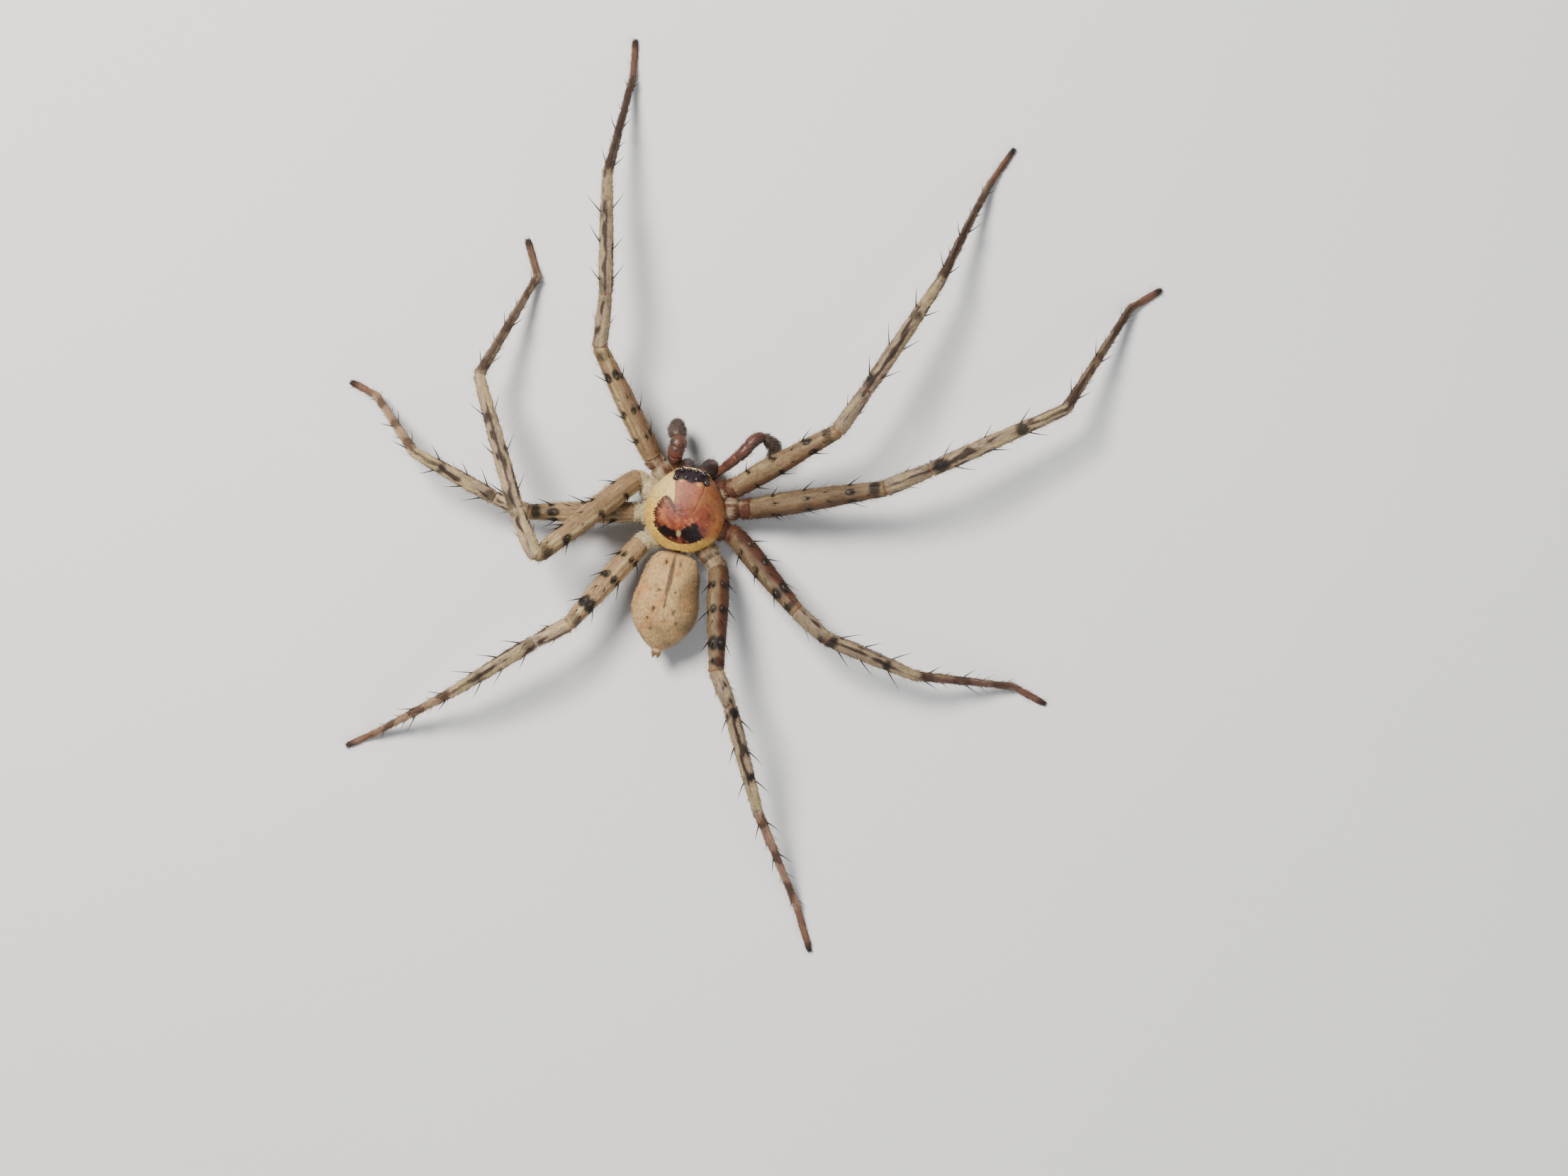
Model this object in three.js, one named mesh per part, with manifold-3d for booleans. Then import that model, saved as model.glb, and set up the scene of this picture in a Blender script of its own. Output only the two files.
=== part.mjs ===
// A male pantropical huntsman spider at life size, standing on a floor with its legs spread.
// Millimetres, +Z up, the head towards -Y, the animal's left side towards +X, the floor at Z = 0.
import * as THREE from 'three';
import Module from 'manifold-3d';
import { mergeVertices } from 'three/addons/utils/BufferGeometryUtils.js';

const wasm = await Module();
wasm.setup();

const UP = new THREE.Vector3(0, 0, 1);
const AHEAD = new THREE.Vector3(0, -1, 0);

// Clearances between neighbouring pieces
const jointGap = 0.25;
const shellGap = 0.25;
const eyeGap = 0.07;
const palpRootGap = 0.16;
// A joint bent further than this, in radians from straight to its middle plane, gets rings that turn in steps
const bentJoint = 0.24;

// The carapace: a low domed shield over the front half of the body
const carapaceFront = -4.15;
const carapaceUnderside = 3.95;
const carapaceRimThickness = 0.3;
// Half widths from the front edge to the rear edge, as [y, half width]
const carapaceHalfWidths = [
  [-4.15, 1.72], [-3.3, 2.3], [-2.2, 3.08], [-1.0, 3.72], [0.4, 3.96],
  [1.8, 3.74], [3.0, 2.98], [3.8, 1.95], [4.15, 1.2],
];
// Crest heights above the rim, as [y, height]
const carapaceCrest = [
  [-4.15, 0.45], [-3.7, 1.1], [-3.0, 1.62], [-1.8, 1.98], [0.2, 2.22],
  [1.6, 2.12], [2.8, 1.5], [3.7, 0.75], [4.15, 0.35],
];
// How boxy its section is at the front edge and from the end of the head back, and how steep its shoulders are
const headEnd = -0.5;
const headSquareness = 3.6;
const rearSquareness = 2.3;
const shoulderPower = 0.8;
// Where its rings stand, closer together where its outline turns
const carapaceStations = [
  -4.15, -3.95, -3.7, -3.4, -3.0, -2.5, -1.9, -1.2, -0.4, 0.4, 1.2, 1.9, 2.5, 3.0, 3.45, 3.8, 4.0, 4.15,
];
const carapaceSteps = 14;

// The breastplate with lip and jaw bases, a thick plate that the eight coxae butt against
const sternumBottom = 2.05;
const sternumTop = carapaceUnderside - shellGap;
const sternumBevel = 0.2;
// Corners of the left half from front to rear; side n of them faces leg pair n
const sternumCorners = [[1.0, -2.5], [1.95, -1.2], [2.15, 0.1], [1.75, 1.4], [0.55, 2.5]];
const jawBaseReach = 0.15;
const jawBaseHalfWidth = 0.8;

// The abdomen from front to rear, as [y, half width], [y, half height] and [y, height of its middle]
const abdomenFront = 4.8;
const abdomenRear = 14.1;
const abdomenHalfWidths = [
  [4.8, 1.05], [5.2, 1.9], [6.0, 2.5], [8.0, 2.95], [9.9, 3.28],
  [11.6, 2.95], [13.0, 1.95], [13.8, 1.1], [14.1, 0.6],
];
const abdomenHalfHeights = [
  [4.8, 0.9], [5.2, 1.6], [6.0, 2.15], [8.0, 2.5], [9.9, 2.5],
  [11.6, 2.2], [13.0, 1.55], [13.8, 0.95], [14.1, 0.55],
];
const abdomenMiddles = [
  [4.8, 3.6], [6.0, 3.85], [8.0, 3.95], [9.9, 3.95], [11.6, 3.8], [13.0, 3.5], [14.1, 3.2],
];
const abdomenStations = [
  4.8, 4.95, 5.2, 5.6, 6.2, 7.2, 8.4, 9.6, 10.6, 11.6, 12.5, 13.2, 13.7, 14.0, 14.1,
];
const abdomenSides = 20;

// The waist between the two, its rear end a little under the middle of the abdomen's front
const waistRadius = 0.42;
const waistFrontHeight = 2.9;
const waistDrop = 0.35;
const waistSides = 10;

// Spinnerets at the tip of the abdomen: a pair above and a shorter pair below, on one short base
const spinneretLength = 0.75;
const spinneretRadius = 0.24;
const spinneretSpread = 0.26;
const spinneretBaseShare = 0.4;
const spinneretUpperShare = 0.8;
const spinneretLowerShare = 0.7;
const spinneretSplay = 0.1;
const spinneretRootStep = 0.05;
const spinneretDroop = -0.15;

// Jaws hanging from the front of the carapace, each with its fang
const jawTop = carapaceUnderside - shellGap;
const jawBottom = 0.95;
const jawSideways = 0.77;
const jawHalfWidth = 0.66;
const jawForward = -3.55;
const jawBulge = 0.5;
// The jaw from top to bottom, as [share of its height, share of its width, share of its bulge]
const jawProfile = [
  [0, 0.92, 0], [0.2, 1.05, 0.6], [0.45, 1.08, 1], [0.72, 0.95, 0.85], [0.92, 0.68, 0.4], [1, 0.42, 0.2],
];
const fangLength = 1.1;
const fangRadius = 0.22;
const fangRise = 0.25;
const fangRootBulge = 0.3;
// Which way a fang lies: towards the middle, back under the body and down
const fangDirection = [-0.45, 0.75, -0.28];

// Eyes: radius and place on the carapace for the left one of each pair
const eyes = {
  front_middle: { radius: 0.19, x: 0.36, y: -3.86 },
  front_side: { radius: 0.29, x: 1.08, y: -3.72 },
  rear_middle: { radius: 0.18, x: 0.52, y: -3.02 },
  rear_side: { radius: 0.26, x: 1.5, y: -2.86 },
};
const eyeProud = 0.25;
const eyeSides = 9;

// Leg pairs: how stout each is beside the first, and the widths of its joints and segments in mm
const pairStoutness = { 1: 0.98, 2: 1.05, 3: 1.0, 4: 0.98 };
const jointWidths = { root: 1.1, hip: 1.5, knee: 1.42, patella: 1.2, tibia: 0.92, metatarsus: 0.6, tip: 0.42 };
const segmentWidths = {
  coxa: [[0.25, 1.45], [0.6, 1.7], [0.74, 1.5], [0.88, 1.62]],
  femur: [[0.14, 1.72], [0.32, 1.9], [0.55, 1.86], [0.8, 1.62]],
  patella: [[0.5, 1.42]],
  tibia: [[0.15, 1.3], [0.4, 1.28], [0.7, 1.12]],
  metatarsus: [[0.1, 0.82], [0.35, 0.72], [0.75, 0.62]],
};
// Height of a section beside its width, and how far a long segment bows upwards beside its length
const sectionHeights = { coxa: 1.0, femur: 1.06, patella: 1.02, tibia: 1.0, metatarsus: 1.0 };
const segmentBow = { femur: 0.035, tibia: 0.02, metatarsus: 0.0 };
const legSides = 10;
const footSides = 8;
const hipHeight = 3.0;

// The tarsus, from the ankle down to a flat sole: where the sole starts as a share of its length, how far down
// the step before it has come, and how much narrower it is behind the tip
const tarsusWidth = 0.54;
const soleHeight = 0.21;
const stepShare = 0.25;
const stepDrop = 0.55;
const soleStart = 0.5;
const tipStart = 0.88;
const tipNarrowing = 0.95;

// Two claws at the tip of each tarsus, rooted a little above and behind the tip, dipping and spreading forwards
const clawLength = 0.42;
const clawRadius = 0.11;
const clawSpread = 0.13;
const clawRise = 0.06;
const clawSunk = 0.15;
const clawSplay = 0.25;
const clawDip = 0.12;

// Spines stand in pairs on the long segments: where along a segment, how far round from its back in degrees,
// and their length; they lean towards the foot
const spinePairs = {
  femur: { along: [0.2, 0.44, 0.74], around: 60, length: 1.9 },
  tibia: { along: [0.13, 0.4, 0.7], around: 72, length: 2.0 },
  metatarsus: { along: [0.1, 0.48], around: 66, length: 1.7 },
};
const spineLean = 40;
const spineRootRadius = 0.23;
const spineTipShare = 0.22;
const spineSunk = 0.35;
const spineClearance = 0.3;
// How far each spine may differ: in place along the segment, in degrees round it, in degrees of lean, in length
const spineVariation = { along: 0.03, around: 9, lean: 8, length: 0.16 };
// A spine that meets another piece is laid flatter, then shortened, by these shares of its lean and length
const spineEasing = [[1, 1], [0.6, 1], [0.3, 0.8]];

// Each leg as it stands: where its hip is, then for femur, patella, tibia, metatarsus and tarsus the reach seen
// from above and its bearing in degrees from +X towards +Y, then the heights of the knee and the next three joints
const legPoses = {
  leg_1_left: {
    pair: 1, side: 1, hip: [4.3, -4.4],
    reach: [11.7, 5.0, 12.1, 10.8, 3.6], bearing: [-53, -86, -78, -90, -82], heights: [7.4, 8.4, 5.8, 0.62],
  },
  leg_2_left: {
    pair: 2, side: 1, hip: [5.4, -2.1],
    reach: [12.4, 5.0, 13.9, 11.6, 3.6], bearing: [52, -57, -61, -105, -63], heights: [10.1, 10.5, 6.2, 0.62],
  },
  leg_3_left: {
    pair: 3, side: 1, hip: [5.1, 1.3],
    reach: [10.3, 3.6, 8.8, 7.6, 2.7], bearing: [12, -11, -18, -41, -15], heights: [4.2, 4.8, 6.8, 1.3],
  },
  leg_4_left: {
    pair: 4, side: 1, hip: [3.7, 4.2],
    reach: [10.6, 3.6, 9.6, 9.2, 3.2], bearing: [61, 39, 43, 39, 36], heights: [6.2, 7.4, 5.4, 0.8],
  },
  leg_1_right: {
    pair: 1, side: -1, hip: [-4.4, -3.1],
    reach: [11.4, 4.8, 13.2, 11.4, 4.3], bearing: [-140, -114, -112, -105, -113], heights: [8.2, 8.8, 5.6, 0.62],
  },
  leg_2_right: {
    pair: 2, side: -1, hip: [-6.4, -1.4],
    reach: [13.3, 4.7, 14.7, 12.6, 3.4], bearing: [-160, -146, -144, -112, -137], heights: [7.2, 8.2, 6.0, 0.75],
  },
  leg_3_right: {
    pair: 3, side: -1, hip: [-5.4, 1.6],
    reach: [9.6, 3.9, 9.6, 10.1, 3.4], bearing: [141, 149, 169, -175, 163], heights: [6.8, 7.2, 4.8, 0.68],
  },
  leg_4_right: {
    pair: 4, side: -1, hip: [-4.4, 5.1],
    reach: [10.1, 3.6, 10.7, 10.8, 4.4], bearing: [101, 124, 116, 123, 118], heights: [7.8, 8.4, 5.2, 0.62],
  },
};

// The two palps: each runs through these places, an arm and then a club from the fifth place on,
// with the widths of both as [share of its length, width]
const palpPaths = {
  left: [[1.5, -3.5, 2.8], [1.95, -4.2, 3.05], [2.12, -5.4, 3.9], [2.05, -6.2, 4.1], [2.15, -6.8, 3.75],
    [2.4, -7.4, 3.3], [2.58, -8.0, 2.85], [2.68, -8.75, 2.3]],
  right: [[-1.5, -3.5, 2.8], [-2.5, -4.4, 3.2], [-4.4, -6.6, 4.3], [-5.3, -8.05, 4.3], [-6.0, -8.5, 3.9],
    [-6.75, -8.3, 3.5], [-7.4, -7.75, 3.1], [-7.1, -6.95, 2.75]],
};
const palpJoint = 4;
const palpArmWidths = [[0, 0.72], [0.2, 0.66], [0.45, 0.8], [0.7, 0.96], [0.88, 0.96], [1, 0.8]];
const palpClubWidths = {
  left: [[0, 0.8], [0.35, 1.4], [0.65, 1.5], [1, 0.6]],
  right: [[0, 0.75], [0.35, 1.12], [0.65, 1.15], [1, 0.55]],
};
const palpRings = 9;
const palpSides = 10;

const finishes = {
  carapace: { color: 0xa5623a, roughness: 0.45 },
  abdomen: { color: 0xc09b68, roughness: 0.85 },
  underside: { color: 0x8f6a3f, roughness: 0.75 },
  limb: { color: 0x9c8054, roughness: 0.75 },
  foot: { color: 0x5a4230, roughness: 0.75 },
  jaw: { color: 0x4a332b, roughness: 0.6 },
  palp: { color: 0x6e4128, roughness: 0.6 },
  eye: { color: 0x141012, roughness: 0.12 },
};

// A smooth curve through [at, value] pairs, read off at one place
function smoothAt(pairs, at) {
  const last = pairs.length - 1;
  let n = 0;
  while (n < last - 1 && at > pairs[n + 1][0]) n += 1;
  const [from, start] = pairs[n];
  const [to, end] = pairs[n + 1];
  const slope = (a, b) => (pairs[b][1] - pairs[a][1]) / (pairs[b][0] - pairs[a][0]);
  const startSlope = n === 0 ? slope(0, 1) : slope(n - 1, n + 1);
  const endSlope = n + 1 === last ? slope(last - 1, last) : slope(n, n + 2);
  const span = to - from;
  const t = THREE.MathUtils.clamp((at - from) / span, 0, 1);
  const t2 = t * t;
  const t3 = t2 * t;
  return (2 * t3 - 3 * t2 + 1) * start + (t3 - 2 * t2 + t) * span * startSlope
    + (3 * t2 - 2 * t3) * end + (t3 - t2) * span * endSlope;
}

// Turns points and faces into a closed geometry whose faces point out
function closedGeometry(points, faces) {
  let volume = 0;
  for (let n = 0; n < faces.length; n += 3) {
    const [a, b, c] = [points[faces[n]], points[faces[n + 1]], points[faces[n + 2]]];
    volume += a.dot(new THREE.Vector3().crossVectors(b, c));
  }
  const turned = volume < 0 ? faces.slice().reverse() : faces;
  const geometry = new THREE.BufferGeometry();
  geometry.setAttribute('position', new THREE.Float32BufferAttribute(points.flatMap((p) => p.toArray()), 3));
  geometry.setIndex(turned);
  return geometry;
}

// Skins a row of rings with the same number of points, and closes both ends with fans
function loft(rings) {
  const sides = rings[0].length;
  const points = rings.flat();
  const faces = [];
  for (let r = 0; r < rings.length - 1; r += 1) {
    for (let s = 0; s < sides; s += 1) {
      const a = r * sides + s;
      const b = r * sides + (s + 1) % sides;
      faces.push(a, b, b + sides, a, b + sides, a + sides);
    }
  }
  for (const first of [0, (rings.length - 1) * sides]) {
    const ringPoints = points.slice(first, first + sides);
    const centre = new THREE.Vector3();
    ringPoints.forEach((p) => centre.addScaledVector(p, 1 / sides));
    const middle = points.push(centre) - 1;
    for (let s = 0; s < sides; s += 1) {
      const a = first + s;
      const b = first + (s + 1) % sides;
      if (first === 0) faces.push(middle, b, a);
      else faces.push(middle, a, b);
    }
  }
  return closedGeometry(points, faces);
}

// An oval ring round a centre, square to the given direction, level along its bottom
function ovalRing(centre, direction, width, height, sides, top = UP) {
  const across = new THREE.Vector3().crossVectors(top, direction).normalize();
  const over = new THREE.Vector3().crossVectors(direction, across).normalize();
  const ring = [];
  for (let s = 0; s < sides; s += 1) {
    const angle = (s + 0.5) * 2 * Math.PI / sides;
    ring.push(centre.clone()
      .addScaledVector(across, Math.sin(angle) * width / 2)
      .addScaledVector(over, Math.cos(angle) * height / 2));
  }
  return ring;
}

function toSolid(geometry) {
  const plain = geometry.clone();
  plain.deleteAttribute('normal');
  plain.deleteAttribute('uv');
  const merged = mergeVertices(plain, 1e-5);
  return new wasm.Manifold(new wasm.Mesh({
    numProp: 3,
    vertProperties: new Float32Array(merged.attributes.position.array),
    triVerts: new Uint32Array(merged.index.array),
  }));
}

// Back to a geometry, keeping only the largest closed surface
function toGeometry(solid) {
  const pieces = solid.decompose();
  const largest = pieces.reduce((a, b) => (b.volume() > a.volume() ? b : a));
  const { vertProperties, triVerts } = largest.getMesh();
  const geometry = new THREE.BufferGeometry();
  geometry.setAttribute('position', new THREE.Float32BufferAttribute(vertProperties, 3));
  geometry.setIndex(Array.from(triVerts));
  return geometry;
}

const fuse = (pieces) => toGeometry(pieces.map(toSolid).reduce((a, b) => a.add(b)));
const cut = (body, tools) => toGeometry(tools.map(toSolid).reduce((a, b) => a.subtract(b), toSolid(body)));

// A straight taper with a narrow tip, used for spines, fangs, claws and spinnerets
function spike(root, direction, length, radius, tipShare, sides) {
  const along = direction.clone().normalize();
  const top = Math.abs(along.z) > 0.9 ? AHEAD : UP;
  return loft([[0, 1], [1, tipShare]].map(([t, share]) => {
    const centre = root.clone().addScaledVector(along, length * t);
    return ovalRing(centre, along, 2 * radius * share, 2 * radius * share, sides, top);
  }));
}

const pieces = [];

function addPiece(name, geometry, finish, spines = []) {
  pieces.push({ name, geometry, finish, spines, solid: toSolid(geometry) });
}

// Height of the carapace's top face over a point seen from above
function carapaceHeight(x, y) {
  const share = Math.min(Math.abs(x) / smoothAt(carapaceHalfWidths, y), 1);
  const behindHead = THREE.MathUtils.smoothstep(y, carapaceFront, headEnd);
  const squareness = THREE.MathUtils.lerp(headSquareness, rearSquareness, behindHead);
  const crest = smoothAt(carapaceCrest, y);
  return carapaceUnderside + carapaceRimThickness + crest * (1 - share ** squareness) ** shoulderPower;
}

function carapaceNormal(x, y) {
  const step = 0.05;
  const slopeX = (carapaceHeight(x + step, y) - carapaceHeight(x - step, y)) / (2 * step);
  const slopeY = (carapaceHeight(x, y + step) - carapaceHeight(x, y - step)) / (2 * step);
  return new THREE.Vector3(-slopeX, -slopeY, 1).normalize();
}

function eyeCentre(eye, side) {
  const x = eye.x * side;
  const surface = new THREE.Vector3(x, eye.y, carapaceHeight(x, eye.y));
  return surface.addScaledVector(carapaceNormal(x, eye.y), eye.radius * eyeProud);
}

function eyeball(eye, side, extra) {
  const geometry = new THREE.SphereGeometry(eye.radius + extra, eyeSides, Math.round(eyeSides * 0.7));
  const centre = eyeCentre(eye, side);
  geometry.translate(centre.x, centre.y, centre.z);
  return geometry;
}

function makeCarapace() {
  const rings = carapaceStations.map((y) => {
    const half = smoothAt(carapaceHalfWidths, y);
    const ring = [new THREE.Vector3(half, y, carapaceUnderside)];
    for (let s = 0; s <= carapaceSteps; s += 1) {
      const x = half * Math.cos(Math.PI * s / carapaceSteps);
      ring.push(new THREE.Vector3(x, y, carapaceHeight(x, y)));
    }
    ring.push(new THREE.Vector3(-half, y, carapaceUnderside));
    return ring;
  });
  const sockets = [];
  for (const eye of Object.values(eyes)) {
    for (const side of [1, -1]) sockets.push(eyeball(eye, side, eyeGap));
  }
  return cut(loft(rings), sockets);
}

function makeSternum() {
  const half = [[jawBaseHalfWidth, sternumCorners[0][1] - jawBaseReach], ...sternumCorners];
  const outline = [...half, ...half.slice().reverse().map(([x, y]) => [-x, y])];
  const level = (height, inset) => outline.map(([x, y]) => new THREE.Vector3(x * inset, y * inset, height));
  const share = 1 - sternumBevel / 2;
  return loft([
    level(sternumBottom, share),
    level(sternumBottom + sternumBevel, 1),
    level(sternumTop, 1),
  ]);
}

function makeAbdomen() {
  return loft(abdomenStations.map((y) => ovalRing(
    new THREE.Vector3(0, y, smoothAt(abdomenMiddles, y)), AHEAD,
    2 * smoothAt(abdomenHalfWidths, y), 2 * smoothAt(abdomenHalfHeights, y), abdomenSides,
  )));
}

function makeWaist() {
  const rearHeight = smoothAt(abdomenMiddles, abdomenFront) - waistDrop;
  const start = new THREE.Vector3(0, sternumCorners.at(-1)[1] + jointGap, waistFrontHeight);
  const end = new THREE.Vector3(0, abdomenFront - jointGap, rearHeight);
  const middle = start.clone().lerp(end, 0.5);
  const width = 2 * waistRadius;
  return loft([start, middle, end].map((at) => ovalRing(at, AHEAD, width, width, waistSides)));
}

function makeSpinnerets() {
  const start = new THREE.Vector3(0, abdomenRear + jointGap, smoothAt(abdomenMiddles, abdomenRear));
  const backwards = new THREE.Vector3(0, 1, spinneretDroop);
  const baseLength = spinneretLength * spinneretBaseShare;
  const parts = [spike(start, backwards, baseLength, spinneretRadius + spinneretSpread, 0.7, 7)];
  for (const side of [1, -1]) {
    for (const level of [1, -1]) {
      const root = start.clone();
      root.add(new THREE.Vector3(side * spinneretSpread, spinneretRootStep, level * spinneretSpread));
      const reach = spinneretLength * (level > 0 ? spinneretUpperShare : spinneretLowerShare);
      const direction = new THREE.Vector3(side * spinneretSplay, 1, level * spinneretSplay);
      parts.push(spike(root, direction, reach, spinneretRadius, 0.5, 5));
    }
  }
  return fuse(parts);
}

// One jaw, made larger all round by extra where it serves to cut its neighbour clear
function jawBody(side, extra) {
  const sides = 10;
  const rings = jawProfile.map(([t, share, bulge]) => {
    const height = THREE.MathUtils.lerp(jawTop, jawBottom, t);
    const centre = new THREE.Vector3(side * jawSideways, jawForward - jawBulge * bulge, height);
    const width = 2 * (jawHalfWidth * Math.min(share, 1) + extra);
    const depth = 2 * (jawHalfWidth * share + extra);
    return ovalRing(centre, new THREE.Vector3(0, 0, -1), width, depth, sides, AHEAD);
  });
  return loft(rings);
}

function makeJaw(side) {
  const [inwards, backwards, downwards] = fangDirection;
  const rootY = jawForward - jawBulge * fangRootBulge;
  const root = new THREE.Vector3(side * jawSideways, rootY, jawBottom + fangRise);
  const direction = new THREE.Vector3(side * inwards, backwards, downwards);
  const fang = spike(root, direction, fangLength, fangRadius, 0.15, 6);
  return fuse([jawBody(side, 0), fang]);
}

// Plane direction of each joint: halfway between the two segments that meet there
function jointDirections(joints, first) {
  return joints.map((joint, n) => {
    const before = n > 0 ? joint.clone().sub(joints[n - 1]).normalize() : first;
    const after = n < joints.length - 1 ? joints[n + 1].clone().sub(joint).normalize() : before;
    return n === 0 && first ? first.clone() : before.clone().add(after).normalize();
  });
}

// How far from a bent joint a segment's rings may first stand half turned, and square across it
function turningReach(plane, along, radius) {
  const angle = Math.acos(Math.min(plane.dot(along), 1));
  const face = jointGap / 2 / Math.cos(angle);
  const halfway = face + radius * (Math.tan(angle) * Math.cos(angle / 2) - Math.sin(angle / 2) + 0.1);
  return { bent: angle > bentJoint, halfway, square: face + radius * (Math.tan(angle) + 0.25) };
}

// Rings that turn from the joint's plane to square across the segment
function turningRings(joint, plane, along, width, height, sides, sense) {
  const turning = turningReach(plane, along, Math.max(width, height) / 2);
  const face = joint.clone().addScaledVector(plane, sense * jointGap / 2);
  const rings = [ovalRing(face, plane, width, height, sides)];
  if (turning.bent) {
    const between = plane.clone().add(along).normalize();
    const place = (distance) => joint.clone().addScaledVector(along, sense * distance);
    rings.push(ovalRing(place(turning.halfway), between, width, height, sides));
    rings.push(ovalRing(place(turning.square), along, width, height, sides));
  }
  return rings;
}

// One leg segment between two joints, its faces flat against its neighbours'
function segmentRings(start, end, planes, ends, profile, heightShare, bow, sides) {
  const endSpace = 0.06;
  const along = end.clone().sub(start);
  const length = along.length();
  along.normalize();
  const over = new THREE.Vector3().crossVectors(along, new THREE.Vector3().crossVectors(UP, along)).normalize();
  const taken = planes.map((plane, n) => {
    const turning = turningReach(plane, along, ends[n] * heightShare / 2);
    return length * endSpace + (turning.bent ? turning.square : 0);
  });
  const kept = profile.filter(([t]) => t * length > taken[0] && (1 - t) * length > taken[1]);
  const middle = kept.map(([t, width]) => {
    const centre = start.clone().addScaledVector(along, t * length);
    centre.addScaledVector(over, bow * length * Math.sin(Math.PI * t));
    return ovalRing(centre, along, width, width * heightShare, sides);
  });
  const opening = turningRings(start, planes[0], along, ends[0], ends[0] * heightShare, sides, 1);
  const closing = turningRings(end, planes[1], along, ends[1], ends[1] * heightShare, sides, -1);
  return [...opening, ...middle, ...closing.reverse()];
}

// A seeded draw between -1 and 1, the same on every run
function seededDraws(seed) {
  let state = seed;
  return () => {
    state = (state * 1664525 + 1013904223) % 4294967296;
    return state / 2147483648 - 1;
  };
}

// The pairs of spines on one segment; each is a function of how far its lean and length are eased
function planSpines(start, end, profile, row, draw) {
  const along = end.clone().sub(start);
  const length = along.length();
  along.normalize();
  const across = new THREE.Vector3().crossVectors(UP, along).normalize();
  const over = new THREE.Vector3().crossVectors(along, across).normalize();
  const spines = [];
  for (const place of row.along) {
    for (const side of [1, -1]) {
      const t = place + spineVariation.along * draw();
      const around = THREE.MathUtils.degToRad(row.around * side + spineVariation.around * draw());
      const leanAngle = THREE.MathUtils.degToRad(spineLean + spineVariation.lean * draw());
      const reach = row.length * (1 + spineVariation.length * draw());
      const outwards = over.clone().multiplyScalar(Math.cos(around)).addScaledVector(across, Math.sin(around));
      const foot = start.clone().addScaledVector(along, t * length);
      foot.addScaledVector(outwards, smoothAt(profile, t) / 2);
      spines.push((leanShare, reachShare) => {
        const lean = leanAngle * leanShare;
        const direction = along.clone().multiplyScalar(Math.cos(lean));
        direction.addScaledVector(outwards, Math.sin(lean));
        const root = foot.clone().addScaledVector(outwards, -spineSunk * Math.sin(leanAngle));
        root.addScaledVector(along, -spineSunk * Math.cos(leanAngle));
        return spike(root, direction, reach * reachShare + spineSunk, spineRootRadius, spineTipShare, 4);
      });
    }
  }
  return spines;
}

// The first of the eased forms of a spine that keeps clear of the other pieces, if there is one
function clearSpine(spine, others) {
  for (const [leanShare, reachShare] of spineEasing) {
    const geometry = spine(leanShare, reachShare);
    const solid = toSolid(geometry);
    const gaps = others.map((other) => other.minGap(solid, spineClearance));
    if (gaps.every((gap) => gap >= spineClearance)) return geometry;
  }
  return null;
}

// The joints of one leg from its root on the breastplate to its tip, and the direction in which it leaves
function legJoints(pose) {
  const facetStart = sternumCorners[pose.pair - 1];
  const facetEnd = sternumCorners[pose.pair];
  const rootX = pose.side * (facetStart[0] + facetEnd[0]) / 2;
  const rootY = (facetStart[1] + facetEnd[1]) / 2;
  const run = new THREE.Vector3(facetEnd[0] - facetStart[0], facetEnd[1] - facetStart[1], 0);
  const outwards = new THREE.Vector3(run.y * pose.side, -run.x, 0).normalize();
  const root = new THREE.Vector3(rootX, rootY, (sternumBottom + sternumTop) / 2);
  root.addScaledVector(outwards, jointGap / 2);
  const joints = [root, new THREE.Vector3(pose.hip[0], pose.hip[1], hipHeight)];
  const heights = [...pose.heights, soleHeight];
  pose.reach.forEach((reach, n) => {
    const turn = THREE.MathUtils.degToRad(pose.bearing[n]);
    const from = joints.at(-1);
    const x = from.x + reach * Math.cos(turn);
    const y = from.y + reach * Math.sin(turn);
    joints.push(new THREE.Vector3(x, y, heights[n]));
  });
  return { joints, outwards };
}

// Metatarsus and tarsus in one, its sole pressed flat on the floor, with two claws
function makeFoot(joints, planes, widths, sides, draw) {
  const [start, ankle, tip] = joints;
  const along = ankle.clone().sub(start).normalize();
  const rings = segmentRings(
    start, ankle, [planes[0], along], [widths.tibia, widths.metatarsus],
    widths.metatarsusProfile, sectionHeights.metatarsus, segmentBow.metatarsus, sides,
  ).slice(0, -1);
  const forward = tip.clone().sub(ankle);
  forward.z = 0;
  const reach = forward.length();
  forward.normalize();
  const stations = [
    [0, ankle.z, widths.metatarsus],
    [stepShare, THREE.MathUtils.lerp(ankle.z, soleHeight, stepDrop), tarsusWidth],
    [soleStart, soleHeight, tarsusWidth],
    [tipStart, soleHeight, tarsusWidth * tipNarrowing],
    [1, soleHeight, widths.tip],
  ];
  for (const [t, height, width] of stations) {
    const centre = new THREE.Vector3(ankle.x, ankle.y, height).addScaledVector(forward, t * reach);
    const facing = t < soleStart ? along.clone().add(forward).normalize() : forward;
    rings.push(ovalRing(centre, facing, width, width, sides));
  }
  rings.flat().forEach((point) => { point.z = Math.max(point.z, 0); });
  const sideways = new THREE.Vector3().crossVectors(UP, forward);
  const claws = [1, -1].map((side) => {
    const root = new THREE.Vector3(tip.x, tip.y, soleHeight + clawRise).addScaledVector(forward, -clawSunk);
    root.addScaledVector(sideways, side * clawSpread);
    const direction = forward.clone().addScaledVector(sideways, side * clawSplay);
    direction.z = -clawDip;
    return spike(root, direction, clawLength, clawRadius, 0.25, 5);
  });
  const spines = planSpines(start, ankle, widths.metatarsusProfile, spinePairs.metatarsus, draw);
  return { geometry: fuse([loft(rings), ...claws]), spines };
}

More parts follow.
